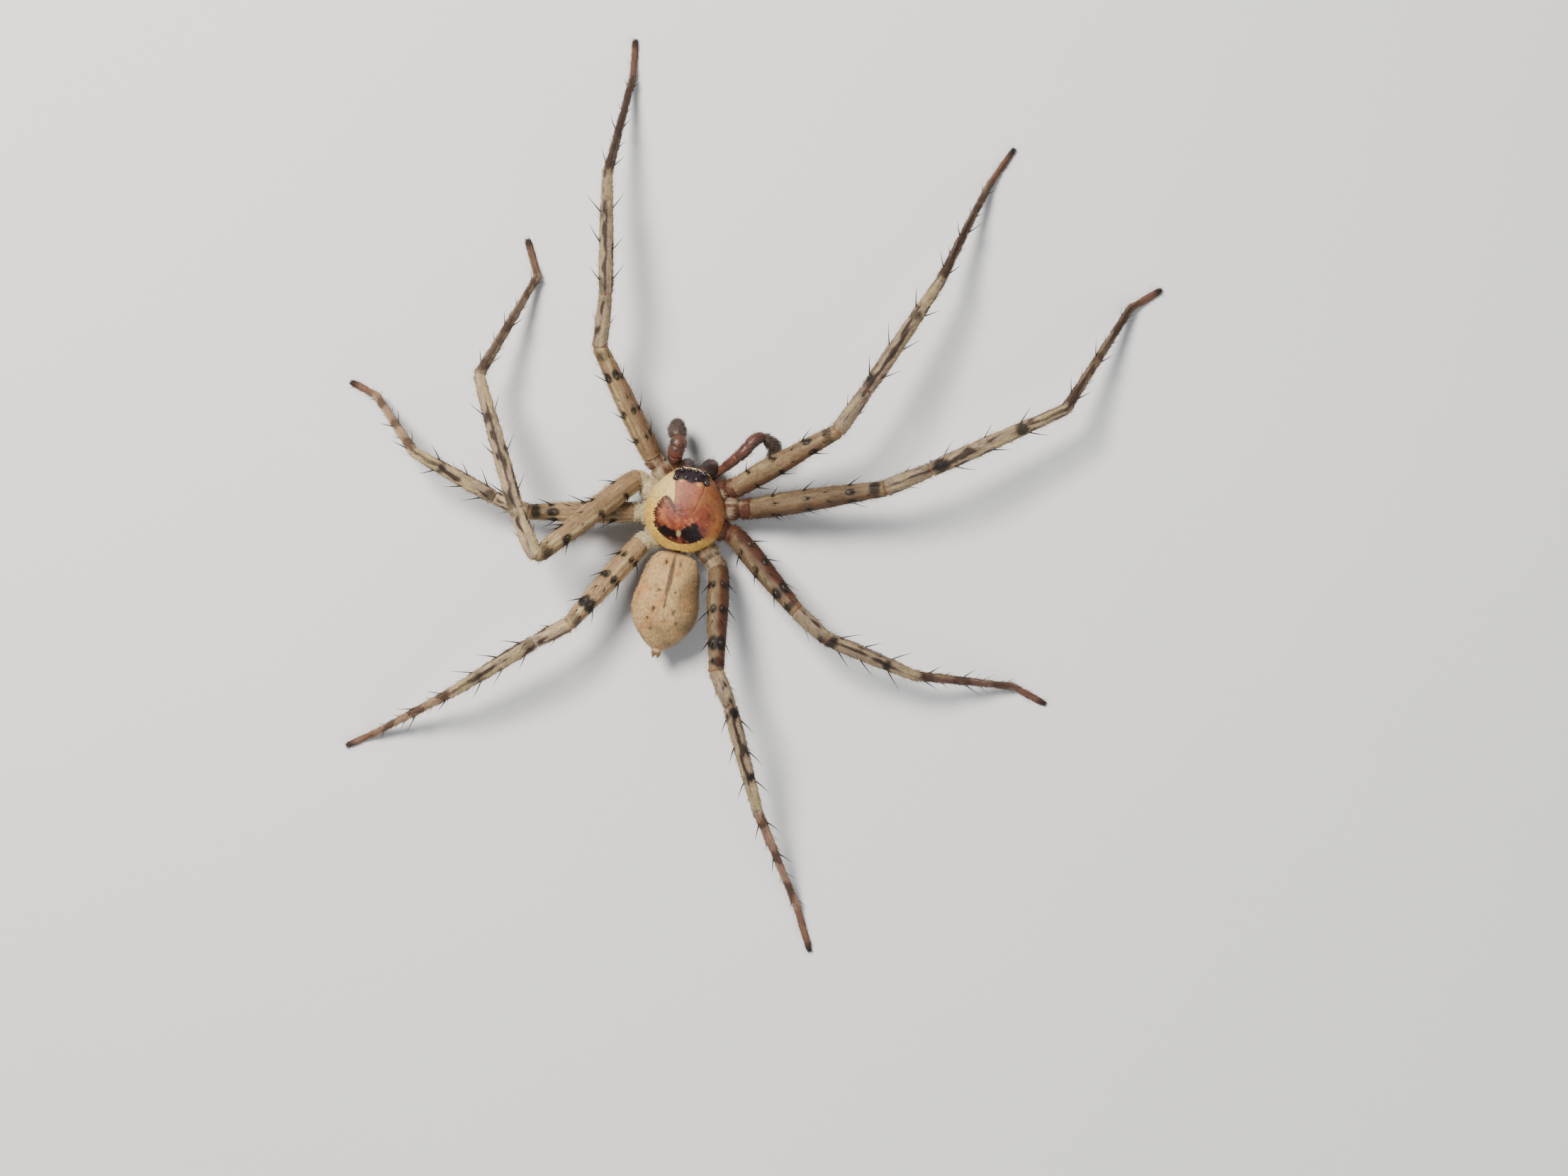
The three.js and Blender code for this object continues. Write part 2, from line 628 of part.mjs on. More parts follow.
function addLeg(name, pose) {
  const { joints, outwards } = legJoints(pose);
  const draw = seededDraws(pose.pair * 10 + pose.side);
  const planes = jointDirections(joints, outwards);
  const stout = pairStoutness[pose.pair];
  const profileOf = (segment) => segmentWidths[segment].map(([t, width]) => [t, width * stout]);
  const widths = {};
  for (const [joint, width] of Object.entries(jointWidths)) widths[joint] = width * stout;
  widths.root = jointWidths.root;
  widths.metatarsusProfile = profileOf('metatarsus');
  const jointNames = ['root', 'hip', 'knee', 'patella', 'tibia'];
  ['coxa', 'femur', 'patella', 'tibia'].forEach((segment, n) => {
    const rings = segmentRings(
      joints[n], joints[n + 1], [planes[n], planes[n + 1]], [widths[jointNames[n]], widths[jointNames[n + 1]]],
      profileOf(segment), sectionHeights[segment], segmentBow[segment] ?? 0, legSides,
    );
    const row = spinePairs[segment];
    const spines = row ? planSpines(joints[n], joints[n + 1], profileOf(segment), row, draw) : [];
    addPiece(`${name}_${segment}`, loft(rings), finishes.limb, spines);
  });
  const foot = makeFoot(joints.slice(4), planes.slice(4), widths, footSides, draw);
  addPiece(`${name}_foot`, foot.geometry, finishes.foot, foot.spines);
}

// A stretch of a palp as one bent, swelling limb
function palpStretch(side, from, to, widths, gaps) {
  const path = new THREE.CatmullRomCurve3(palpPaths[side].map((place) => new THREE.Vector3(...place)));
  const shareAt = (place) => {
    const lengths = path.getLengths((palpPaths[side].length - 1) * 20);
    return lengths[place * 20] / lengths.at(-1);
  };
  const length = path.getLength();
  const start = shareAt(from) + gaps[0] / length;
  const end = shareAt(to) - gaps[1] / length;
  const rings = [];
  for (let n = 0; n <= palpRings; n += 1) {
    const share = n / palpRings;
    const t = THREE.MathUtils.lerp(start, end, share);
    const width = smoothAt(widths, share);
    rings.push(ovalRing(path.getPointAt(t), path.getTangentAt(t), width, width, palpSides));
  }
  return loft(rings);
}

// The arm grows from the flank of the jaw beside it
function makePalpArm(side, sign) {
  const arm = palpStretch(side, 0, palpJoint, palpArmWidths, [0, jointGap / 2]);
  return cut(arm, [jawBody(sign, palpRootGap)]);
}

function makePalpClub(side) {
  const last = palpPaths[side].length - 1;
  return palpStretch(side, palpJoint, last, palpClubWidths[side], [jointGap / 2, 0]);
}

for (const [side, sign] of [['left', 1], ['right', -1]]) {
  addPiece(`chelicera_${side}`, makeJaw(sign), finishes.jaw);
  addPiece(`palp_${side}`, makePalpArm(side, sign), finishes.palp);
  addPiece(`palp_club_${side}`, makePalpClub(side), finishes.foot);
  for (const [place, eye] of Object.entries(eyes)) {
    addPiece(`eye_${place}_${side}`, eyeball(eye, sign, 0), finishes.eye);
  }
}
addPiece('carapace', makeCarapace(), finishes.carapace);
addPiece('sternum', makeSternum(), finishes.underside);
addPiece('pedicel', makeWaist(), finishes.underside);
addPiece('abdomen', makeAbdomen(), finishes.abdomen);
addPiece('spinnerets', makeSpinnerets(), finishes.underside);
for (const [name, pose] of Object.entries(legPoses)) addLeg(name, pose);

// Each piece becomes one mesh, with those of its spines that keep clear of every other piece
const spider = new THREE.Group();
for (const piece of pieces) {
  const others = pieces.filter((other) => other !== piece).map((other) => other.solid);
  const spines = piece.spines.map((spine) => clearSpine(spine, others)).filter((spine) => spine);
  const geometry = spines.length > 0 ? fuse([piece.geometry, ...spines]) : piece.geometry;
  const { color, roughness } = piece.finish;
  const mesh = new THREE.Mesh(geometry, new THREE.MeshStandardMaterial({ color, roughness, metalness: 0 }));
  mesh.name = piece.name;
  spider.add(mesh);
}

// The origin is on the floor under the middle of the whole animal
const box = new THREE.Box3().setFromObject(spider);
spider.position.set(-(box.min.x + box.max.x) / 2, -(box.min.y + box.max.y) / 2, 0);

export default spider;
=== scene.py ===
import bpy
import numpy as np
from mathutils import Matrix, Vector


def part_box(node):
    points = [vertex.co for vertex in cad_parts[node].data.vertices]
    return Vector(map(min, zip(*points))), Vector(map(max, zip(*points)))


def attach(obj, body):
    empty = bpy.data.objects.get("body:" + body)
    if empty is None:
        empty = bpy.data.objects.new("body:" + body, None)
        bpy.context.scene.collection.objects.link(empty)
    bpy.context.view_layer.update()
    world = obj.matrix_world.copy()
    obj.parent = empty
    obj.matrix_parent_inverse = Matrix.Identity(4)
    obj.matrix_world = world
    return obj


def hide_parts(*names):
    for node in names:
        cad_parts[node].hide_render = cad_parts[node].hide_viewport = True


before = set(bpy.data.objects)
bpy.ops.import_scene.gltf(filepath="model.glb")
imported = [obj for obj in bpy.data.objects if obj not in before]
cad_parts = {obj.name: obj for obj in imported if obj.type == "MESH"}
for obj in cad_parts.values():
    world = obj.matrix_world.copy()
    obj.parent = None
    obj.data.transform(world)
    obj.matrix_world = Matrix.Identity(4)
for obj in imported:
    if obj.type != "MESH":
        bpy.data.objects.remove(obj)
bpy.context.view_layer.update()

MM = 0.001
UP = np.array([0.0, 0.0, 1.0])
AHEAD = np.array([0.0, -1.0, 0.0])
TINT = "Tint"
COAT_MAP = "OFBake"
PATCH_SIZE = 0.003
MAP_REACH = 0.996
FLOOR_CLEARANCE = 0.012
SKIN_CLEARANCE = 0.02

# The camera looks straight down from above this point, turned so that the body leans as in the photo
CAMERA_POINT = (-11.142, 5.643)
CAMERA_HEIGHT = 263.0
CAMERA_TURN = 11.8
CAMERA_LENS = 60.0
SENSOR_WIDTH = 36.0

# The carapace
CARAPACE_FRONT = -4.15
CARAPACE_REAR = 4.15
CARAPACE_UNDERSIDE = 3.95
CARAPACE_RIM = 0.3
CARAPACE_HALF_WIDTHS = [
    (-4.15, 1.72), (-3.3, 2.3), (-2.2, 3.08), (-1.0, 3.72), (0.4, 3.96),
    (1.8, 3.74), (3.0, 2.98), (3.8, 1.95), (4.15, 1.2),
]
CARAPACE_CREST = [
    (-4.15, 0.45), (-3.7, 1.1), (-3.0, 1.62), (-1.8, 1.98), (0.2, 2.22),
    (1.6, 2.12), (2.8, 1.5), (3.7, 0.75), (4.15, 0.35),
]
CARAPACE_ROWS = 190
CARAPACE_STEPS = 120
HEAD_END = -0.5
HEAD_SQUARENESS = 3.6
REAR_SQUARENESS = 2.3
SHOULDER_POWER = 0.8
FRONT_ARCH = 0.4
FOVEA_Y = 2.35
FOVEA_LENGTH = 0.9

# Its markings: half widths of the head and of the red field, and the front edge of the field's lobes
HEAD_SIDE = [(-4.15, 1.62), (-2.97, 1.54), (-1.6, 1.3), (-0.08, 1.0), (2.0, 0.25)]
LOBE_FRONT = [(0.9, 0.2), (1.0, -0.08), (1.64, -0.8), (2.07, -0.89), (2.5, -0.5), (3.06, 0.5)]
FIELD_HALF = [
    (-1.0, 2.3), (-0.5, 2.62), (0.5, 3.06), (1.3, 3.0), (2.05, 2.84),
    (2.65, 2.31), (3.11, 1.62), (3.4, 0.8), (3.55, -0.3), (4.15, -0.6),
]

# The breastplate and the soft flank between it and the carapace, as [height, share of the plate's outline]
STERNUM_BOTTOM = 2.05
STERNUM_TOP = 3.70
STERNUM_CORNERS = [(1.0, -2.5), (1.95, -1.2), (2.15, 0.1), (1.75, 1.4), (0.55, 2.5)]
STERNUM_FRONT = [(0.0, -2.75), (0.75, -2.68)]
STERNUM_REAR = (0.0, 2.6)
STERNUM_LEVELS = [
    (2.9, 1.0), (2.3, 1.0), (2.14, 0.985), (2.08, 0.95), (2.04, 0.8), (2.01, 0.55), (1.99, 0.3), (1.98, 0.08),
]
FLANK_LEVELS = [(2.4, 0.9), (2.7, 1.02), (3.2, 1.06), (3.7, 1.12), (4.0, 1.2), (4.2, 1.2)]
JOINT_GAP = 0.25

# The abdomen, with the waist before it and the base of the spinnerets behind it
WAIST_START = 2.3
ABDOMEN_FRONT = 4.35
ABDOMEN_REAR = 14.1
TAIL_END = 14.65
ABDOMEN_SIDES = 110
WAIST_ROWS = 16
ABDOMEN_ROWS = 170
TAIL_ROWS = 9
ABDOMEN_HALF_WIDTHS = [
    (2.3, 0.55), (3.0, 0.45), (4.0, 0.45), (4.22, 0.55), (4.35, 0.9), (4.55, 1.5), (4.9, 1.98), (5.5, 2.38),
    (6.3, 2.66), (8.0, 2.98), (9.9, 3.28), (11.6, 2.95), (13.0, 1.95), (13.8, 1.1), (14.1, 0.6), (14.4, 0.49),
    (14.65, 0.35),
]
ABDOMEN_HALF_HEIGHTS = [
    (2.3, 0.5), (3.0, 0.425), (4.0, 0.4), (4.22, 0.43), (4.35, 0.5), (4.55, 1.0), (4.9, 1.45), (6.0, 2.15),
    (8.0, 2.5), (9.9, 2.5), (11.6, 2.2), (13.0, 1.55), (13.8, 0.95), (14.1, 0.55), (14.4, 0.45), (14.65, 0.3),
]
ABDOMEN_MIDDLES = [
    (2.3, 3.05), (4.0, 3.2), (4.35, 3.45), (4.8, 3.55), (6.0, 3.85), (8.0, 3.95), (9.9, 3.95), (11.6, 3.8),
    (13.0, 3.5), (14.1, 3.2), (14.65, 3.15),
]
HEART_HALF = [(4.8, 0.08), (5.6, 0.13), (7.2, 0.24), (8.4, 0.15), (9.6, 0.07), (10.0, 0.04)]

# Pairs of dark dots: place across and along, size and how long each is; then the pits under the largest
ABDOMEN_DOTS = [
    (1.05, 10.2, 0.2, 1.6), (0.8, 8.3, 0.14, 1.2), (1.45, 11.2, 0.14, 1.2), (0.68, 5.5, 0.15, 1.7),
    (0.9, 12.1, 0.09, 1.0),
]
ABDOMEN_PITS = [(1.05, 10.2, 0.2), (0.8, 8.3, 0.16)]
SPINNERET_LENGTH = 0.55
SPINNERET_RADIUS = 0.22
SPINNERET_SPREAD = 0.2
SPINNERET_ROWS = 22
SPINNERET_SIDES = 20
SPINNERET_WIDTHS = [(0, 0.95), (0.5, 1.0), (0.56, 0.86), (0.9, 0.7), (1, 0.5)]

# The jaws: how far each stands sideways and bulges forward, and [share of height, of width, of bulge]
JAW_TOP = 4.3
JAW_BOTTOM = 0.95
JAW_HALF_WIDTH = 0.78
JAW_FORWARD = -3.55
JAW_ROOT = 0.8
JAW_PLACES = {"left": (0.8, 0.6), "right": (-1.55, 1.05)}
JAW_PROFILE = [
    (0, 0.85, 0), (0.22, 1.0, 0.7), (0.45, 1.06, 1), (0.7, 0.94, 0.85), (0.85, 0.74, 0.5), (0.93, 0.56, 0.35),
]
JAW_ROWS = 60
JAW_SIDES = 48
FANG_LENGTH = 1.21
FANG_RADIUS = 0.2

# The eyes: radius and place on the carapace for the left one of each pair
EYES = {
    "front_middle": (0.19, 0.36, -3.86),
    "front_side": (0.29, 1.08, -3.72),
    "rear_middle": (0.18, 0.52, -3.02),
    "rear_side": (0.26, 1.5, -2.86),
}
EYE_PROUD = 0.25
EYE_RING = 0.055
EYE_RING_STEPS = 32
EYE_RING_SIDES = 12

# The legs
SEGMENTS = ["coxa", "femur", "patella", "tibia", "metatarsus", "tarsus"]
COXA, FEMUR, PATELLA, TIBIA, METATARSUS, TARSUS = range(6)
STOUTNESS = {1: 0.98, 2: 1.05, 3: 1.0, 4: 0.98}
JOINT_WIDTHS = [1.1, 1.85, 1.46, 1.26, 0.98, 0.62, 0.44]
SEGMENT_WIDTHS = [
    [(0.2, 1.75), (0.55, 2.15), (0.72, 1.68), (0.88, 1.8)],
    [(0.1, 2.08), (0.3, 2.2), (0.55, 2.02), (0.8, 1.72)],
    [(0.5, 1.48)],
    [(0.15, 1.38), (0.4, 1.36), (0.7, 1.2)],
    [(0.1, 0.86), (0.35, 0.76), (0.75, 0.65)],
    [(0.25, 0.54), (0.5, 0.54), (0.88, 0.513)],
]
SEGMENT_BOW = [0.0, 0.035, 0.0, 0.02, 0.0, 0.0]
FEMUR_TALLER = 1.06
LEG_SIDES = 44
LEG_STEP = 0.13
JOINT_STEP = 0.055
JOINT_REACH = 0.55
ROOT_DEPTH = 0.5
ROOT_WIDTH = 1.0
ROOT_LENGTH = 3.0
HIP_HEIGHT = 3.0
LEG_SINK = 0.13
LEG_SWELL = 0.02
SOLE_HEIGHT = 0.21
SOLE_START = 0.5
TROCHANTER = 0.7
NO_JOINT = 9.0
CLAW_LENGTH = 0.42
CLAW_RADIUS = 0.07
CLAW_SPREAD = 0.13

# Each leg as it stands: its pair and side, its hip, then the reach seen from above and the bearing of femur,
# patella, tibia, metatarsus and tarsus, and the heights of the knee and the next three joints
LEGS = {
    "leg_1_left": (1, 1, (4.3, -4.4), (11.7, 5.0, 12.1, 10.8, 3.6), (-53, -86, -78, -90, -82),
                   (7.4, 8.4, 5.8, 0.62)),
    "leg_2_left": (2, 1, (5.4, -2.1), (12.4, 5.0, 13.9, 11.6, 3.6), (52, -57, -61, -105, -63),
                   (10.1, 10.5, 6.2, 0.62)),
    "leg_3_left": (3, 1, (5.1, 1.3), (10.3, 3.6, 8.8, 7.6, 2.7), (12, -11, -18, -41, -15),
                   (4.2, 4.8, 6.8, 1.3)),
    "leg_4_left": (4, 1, (3.7, 4.2), (10.6, 3.6, 9.6, 9.2, 3.2), (61, 39, 43, 39, 36),
                   (6.2, 7.4, 5.4, 0.8)),
    "leg_1_right": (1, -1, (-4.4, -3.1), (11.4, 4.8, 13.2, 11.4, 4.3), (-140, -114, -112, -105, -113),
                    (8.2, 8.8, 5.6, 0.62)),
    "leg_2_right": (2, -1, (-6.4, -1.4), (13.3, 4.7, 14.7, 12.6, 3.4), (-160, -146, -144, -112, -137),
                    (7.2, 8.2, 6.0, 0.75)),
    "leg_3_right": (3, -1, (-5.4, 1.6), (9.6, 3.9, 9.6, 10.1, 3.4), (141, 149, 169, -175, 163),
                    (6.8, 7.2, 4.8, 0.68)),
    "leg_4_right": (4, -1, (-4.4, 5.1), (10.1, 3.6, 10.7, 10.8, 4.4), (101, 124, 116, 123, 118),
                    (7.8, 8.4, 5.2, 0.62)),
}

# Spines stand in pairs: places along a segment, degrees round from its back, length; the small ones between
# have a drawn length. Dark spots stand in pairs on top of each femur: share along it and size
SPINE_ROWS = {
    FEMUR: ((0.2, 0.44, 0.74), 60, 1.9),
    TIBIA: ((0.13, 0.4, 0.7), 72, 2.0),
    METATARSUS: ((0.1, 0.48), 66, 1.7),
}
SMALL_SPINE_ROWS = {
    FEMUR: ((0.58, 0.88), 25),
    TIBIA: ((0.26, 0.55, 0.85), 140),
    METATARSUS: ((0.3, 0.68, 0.93), 105),
    PATELLA: ((0.5,), 80),
}
SPINE_RADIUS = 0.075
SPINE_LEAN = 40
SMALL_SPINE_LEAN = 34
SMALL_SPINE_LENGTHS = (0.9, 1.35)
TOP_SPINE_LEAN = 24
TOP_SPINE_LENGTH = 1.1
TOP_SPOTS = ((0.2, 0.62), (0.44, 0.8), (0.75, 1.2))
SPOT_SIZES = {FEMUR: 1.0, TIBIA: 0.62, METATARSUS: 0.42}

# Hair on each segment: hairs a square millimetre, length, and degrees of lift
LEG_HAIR = [(70, 0.5, 26), (52, 0.32, 12), (56, 0.38, 16), (60, 0.44, 20), (70, 0.46, 25), (90, 0.38, 28)]

# The palps: each an arm up to the fifth place and then a club, with widths along each stretch
PALP_PATHS = {
    "left": [(1.35, -3.2, 2.8), (1.95, -4.2, 3.05), (2.12, -5.4, 3.9), (2.05, -6.2, 4.1), (2.15, -6.8, 3.75),
             (2.36, -7.3, 3.4), (2.54, -7.88, 3.0)],
    "right": [(-1.35, -3.2, 2.8), (-2.5, -4.4, 3.2), (-4.4, -6.6, 4.3), (-5.3, -8.05, 4.3), (-6.0, -8.5, 3.9),
              (-6.75, -8.3, 3.5), (-7.4, -7.75, 3.1), (-7.1, -6.95, 2.75)],
}
PALP_JOINT = 4
PALP_ARM_WIDTHS = {
    "left": [(0, 1.0), (0.2, 1.08), (0.45, 1.36), (0.7, 1.54), (0.88, 1.5), (1, 1.24)],
    "right": [(0, 0.76), (0.2, 0.76), (0.45, 0.94), (0.7, 1.12), (0.88, 1.14), (1, 0.94)],
}
PALP_CLUB_WIDTHS = {
    "left": [(0, 1.2), (0.35, 1.55), (0.7, 1.6), (1, 1.4)],
    "right": [(0, 0.75), (0.35, 1.12), (0.65, 1.15), (1, 0.55)],
}
PALP_BENDS = (0.18, 0.55, 0.76)
PALP_ROWS = 170
PALP_SIDES = 36


# Colours

ROOM_BRIGHTNESS = 1.5
SKIN_TONE = 0.84
DARKEST = 0.002


def rgb(red, green, blue):
    """A colour as it looks in the picture, from 0 to 255, as the tint that shows it under the lights."""
    screen = np.array([red, green, blue]) / 255
    light = np.where(screen <= 0.04045, screen / 12.92, ((screen + 0.055) / 1.055) ** 2.4)
    return np.maximum(light, DARKEST) / ROOM_BRIGHTNESS


KHAKI = rgb(168, 136, 98)
KHAKI_SHADE = rgb(104, 82, 52)
PALE_STRIPE = rgb(216, 194, 142)
DARK_STRIPE = rgb(62, 46, 36)
ASH = rgb(190, 166, 140)
SPOT = rgb(22, 16, 13)
SOCKET = rgb(206, 184, 132)
FOOT_BROWN = rgb(84, 58, 44)
TARSUS_BROWN = rgb(126, 84, 64)
# Red-brown painted on the side of each thigh away from the light: painted shade
PAINTED_SHADE_RED = rgb(112, 54, 34)
MEMBRANE = rgb(140, 72, 46)
COXA_CREAM = rgb(226, 208, 166)
# Red-brown for the hips, mostly painted shade on the animal's right, and for the flank
COXA_RED = rgb(112, 66, 46)
CREAM = rgb(244, 208, 128)
MARGIN_YELLOW = rgb(246, 200, 96)
# Red-brown and orange painted over the cream on the animal's right: painted shade
SHADED_CHEEK_RED = rgb(136, 72, 46)
SHADED_CHEEK_ORANGE = rgb(188, 112, 58)
SHELL_RED = rgb(142, 70, 48)
SHELL_PINK = rgb(164, 100, 76)
SHELL_ORANGE = rgb(190, 114, 70)
SHELL_DARK = rgb(70, 32, 22)
BLOTCH = rgb(30, 13, 14)
EYE_PATCH = rgb(44, 28, 36)
FOVEA_GREEN = rgb(196, 178, 120)
ABDOMEN_TAN = rgb(228, 188, 130)
ABDOMEN_OLIVE = rgb(168, 138, 98)
ABDOMEN_ORANGE = rgb(226, 160, 98)
ABDOMEN_DOT = rgb(52, 42, 32)
HEART_MARK = rgb(100, 78, 58)
WAIST_BROWN = rgb(134, 88, 66)
PALP_BROWN = rgb(114, 66, 48)
CLUB_GREY = rgb(92, 76, 66)
JAW_BROWN = rgb(54, 38, 32)
# Brown painted under the legs: painted shade
PAINTED_UNDERSIDE_SHADE = rgb(104, 66, 44)
BELLY_BROWN = rgb(150, 118, 80)
SPINE_BLACK = rgb(26, 19, 16)

# How each leg is marked: degrees round it of its two rows of spots, how red its hip and one side are (minus
# for the other side), mostly painted shade on the hips of the animal's right and on the side of each thigh
# away from the light, how dark its thigh and shin are, the thigh's darkness being each leg's own tone plus
# painted shade on the animal's right legs, how strong its spots, stripes and bands are, and the colour of its
# foot
LOOK_NAMES = ("rows", "hip", "red", "tone_and_shade", "shin", "spots", "stripes", "bands", "foot")
LEG_LOOKS = {leg: dict(zip(LOOK_NAMES, look)) for leg, look in {
    "leg_1_left": ((40, -20), 0.75, -0.45, 0.05, 0.4, 1.0, 0.8, 0.55, rgb(84, 60, 52)),
    "leg_2_left": ((36, -78), 0.1, 0.0, -0.15, 0.0, 1.05, 1.3, 0.8, rgb(108, 84, 72)),
    "leg_3_left": ((4, 70), 0.05, 0.0, -0.25, -0.1, 1.15, 1.4, 0.75, rgb(168, 132, 104)),
    "leg_4_left": ((26, -26), 0.0, 0.0, -0.6, 0.0, 1.3, 1.1, 0.6, rgb(176, 138, 112)),
    "leg_1_right": ((34, -50), 0.95, -0.5, 0.5, 0.3, 0.9, 0.8, 0.75, rgb(68, 42, 36)),
    "leg_2_right": ((8, -62), 0.9, -0.45, 1.05, 0.0, 0.9, 0.9, 0.9, rgb(72, 48, 42)),
    "leg_3_right": ((-30, 34), 0.9, 0.9, 1.05, 0.3, 1.15, 0.8, 0.9, rgb(126, 90, 80)),
    "leg_4_right": ((28, -24), 0.6, 0.85, 0.9, -0.05, 1.35, 0.9, 1.0, rgb(172, 130, 112)),
}.items()}


def mix(first, second, share):
    """From the first colour to the second by a share at each point."""
    return first + (second - first) * np.clip(share, 0, 1)[..., None]


def ramp(value, low, high):
    """0 below low and 1 above high, with a smooth step between them."""
    share = np.clip((value - low) / (high - low), 0, 1)
    return share * share * (3 - 2 * share)


def hill(value, middle, width):
    """1 at the middle, falling to 0 over about twice the width."""
    return np.exp(-((value - middle) / width) ** 2)


def field(places, seed, waves=9):
    """A smooth seeded pattern between about -1 and 1, with features about 1 wide in the given coordinates."""
    draw = np.random.default_rng(seed)
    total = np.zeros(places.shape[:-1])
    for _ in range(waves):
        direction = draw.normal(size=places.shape[-1])
        direction *= draw.uniform(2.2, 5.2) / np.linalg.norm(direction)
        total += np.sin(places @ direction + draw.uniform(0, 2 * np.pi))
    return total / np.sqrt(waves)


# Shapes

def unit(vectors):
    return vectors / np.maximum(np.linalg.norm(vectors, axis=-1, keepdims=True), 1e-9)


def smooth_at(pairs, at):
    """A smooth curve through (at, value) pairs, read off at many places."""
    xs, values = np.array(pairs, float).T
    slopes = np.empty_like(values)
    slopes[1:-1] = (values[2:] - values[:-2]) / (xs[2:] - xs[:-2])
    slopes[0] = (values[1] - values[0]) / (xs[1] - xs[0])
    slopes[-1] = (values[-1] - values[-2]) / (xs[-1] - xs[-2])
    at = np.asarray(at, float)
    n = np.clip(np.searchsorted(xs, at) - 1, 0, len(xs) - 2)
    span = xs[n + 1] - xs[n]
    t = np.clip((at - xs[n]) / span, 0, 1)
    start = (2 * t**3 - 3 * t**2 + 1) * values[n] + (t**3 - 2 * t**2 + t) * span * slopes[n]
    end = (3 * t**2 - 2 * t**3) * values[n + 1] + (t**3 - t**2) * span * slopes[n + 1]
    return start + end


def eased(first, last, count):
    """Places from first to last that lie closer together towards both ends."""
    return first + (last - first) * (1 - np.cos(np.linspace(0, np.pi, count))) / 2


def lengths_along(points):
    """How far along a line each of its points lies."""
    return np.concatenate([[0], np.cumsum(np.linalg.norm(np.diff(points, axis=0), axis=1))])


carapace_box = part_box("carapace")
FRAME_SHIFT = np.array([
    (carapace_box[0].x + carapace_box[1].x) / 2 / MM,
    carapace_box[0].y / MM - CARAPACE_FRONT,
    0.0,
])


def in_frame(points):
    """Millimetres in the body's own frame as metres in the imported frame."""
    return (np.asarray(points, float) + FRAME_SHIFT) * MM


def make_mesh(name, points, face_groups, tints):
    """A smooth mesh object from points, groups of faces with equally many corners, and a tint a point."""
    mesh = bpy.data.meshes.new(name)
    corners = np.concatenate([faces.ravel() for faces in face_groups]).astype(np.int32)
    sizes = np.concatenate([np.full(len(faces), faces.shape[1]) for faces in face_groups])
    starts = np.concatenate([[0], np.cumsum(sizes)[:-1]]).astype(np.int32)
    mesh.vertices.add(len(points))
    mesh.vertices.foreach_set("co", in_frame(points).astype(np.float32).ravel())
    mesh.loops.add(len(corners))
    mesh.loops.foreach_set("vertex_index", corners)
    mesh.polygons.add(len(sizes))
    mesh.polygons.foreach_set("loop_start", starts)
    mesh.update(calc_edges=True)
    mesh.polygons.foreach_set("use_smooth", np.ones(len(sizes), bool))
    layer = mesh.color_attributes.new(TINT, "FLOAT_COLOR", "POINT")
    full = np.ones((len(points), 4), np.float32)
    full[:, :3] = tints
    layer.data.foreach_set("color", full.ravel())
    piece = bpy.data.objects.new(name, mesh)
    bpy.context.scene.collection.objects.link(piece)
    return piece


MATERIALS = {}


def dress(piece, material, replaced=()):
    """Gives a piece its material and its body, and hides the nodes that it stands for."""
    piece.data.materials.append(MATERIALS[material])
    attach(piece, "root")
    if replaced:
        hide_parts(*replaced)


def ring_faces(rows, sides):
    """Faces between rows of rings with the same number of sides."""
    r, s = np.meshgrid(np.arange(rows - 1), np.arange(sides), indexing="ij")
    a = (r * sides + s).ravel()
    b = (r * sides + (s + 1) % sides).ravel()
    return np.stack([a, b, b + sides, a + sides], axis=1)


class Surface:
    """Rows of rings of points, with a tint at each, and the lie of the hair on them."""

    def __init__(self, points, tints):
        self.points = points
        self.tints = np.broadcast_to(tints, points.shape).copy()
        along = np.gradient(points, axis=0)
        around = (np.roll(points, -1, axis=1) - np.roll(points, 1, axis=1)) / 2
        normals = unit(np.cross(around, along))
        outwards = points - points.mean(axis=1, keepdims=True)
        if (normals * outwards).sum() < 0:
            normals = -normals
        self.normals = normals
        self.flow = unit(along - normals * (along * normals).sum(axis=-1, keepdims=True))

    def piece(self, name, tone=1.0):
        """The surface as a mesh, both ends closed by fans, its faces pointing out."""
        rows, sides = self.points.shape[:2]
        points = self.points.reshape(-1, 3)
        tints = self.tints.reshape(-1, 3) * tone
        quads = ring_faces(rows, sides)
        fans = []
        for row in (0, rows - 1):
            points = np.vstack([points, self.points[row].mean(axis=0)])
            tints = np.vstack([tints, self.tints[row].mean(axis=0) * tone])
            a = row * sides + np.arange(sides)
            b = row * sides + (np.arange(sides) + 1) % sides
            middle = np.full(sides, len(points) - 1)
            fans.append(np.stack([middle, b, a] if row == 0 else [middle, a, b], axis=1))
        fans = np.vstack(fans)
        corners = points[quads]
        face_normals = np.cross(corners[:, 1] - corners[:, 0], corners[:, 3] - corners[:, 0])
        if (face_normals * self.normals[:-1].reshape(-1, 3)).sum() < 0:
            quads = quads[:, ::-1]
            fans = fans[:, ::-1]
        return make_mesh(name, points, [quads, fans], tints)

    def read(self, grid, u, v):
        """A grid's values at fractional rows u and fractional sides v."""
        sides = grid.shape[1]
        r = np.minimum(u.astype(int), grid.shape[0] - 2)
        s = v.astype(int) % sides
        after = (s + 1) % sides
        du = (u - r)[:, None]
        dv = (v - v.astype(int))[:, None]
        if grid.ndim == 2:
            grid = grid[..., None]
        near = grid[r, s] * (1 - dv) + grid[r, after] * dv
        far = grid[r + 1, s] * (1 - dv) + grid[r + 1, after] * dv
        return near * (1 - du) + far * du


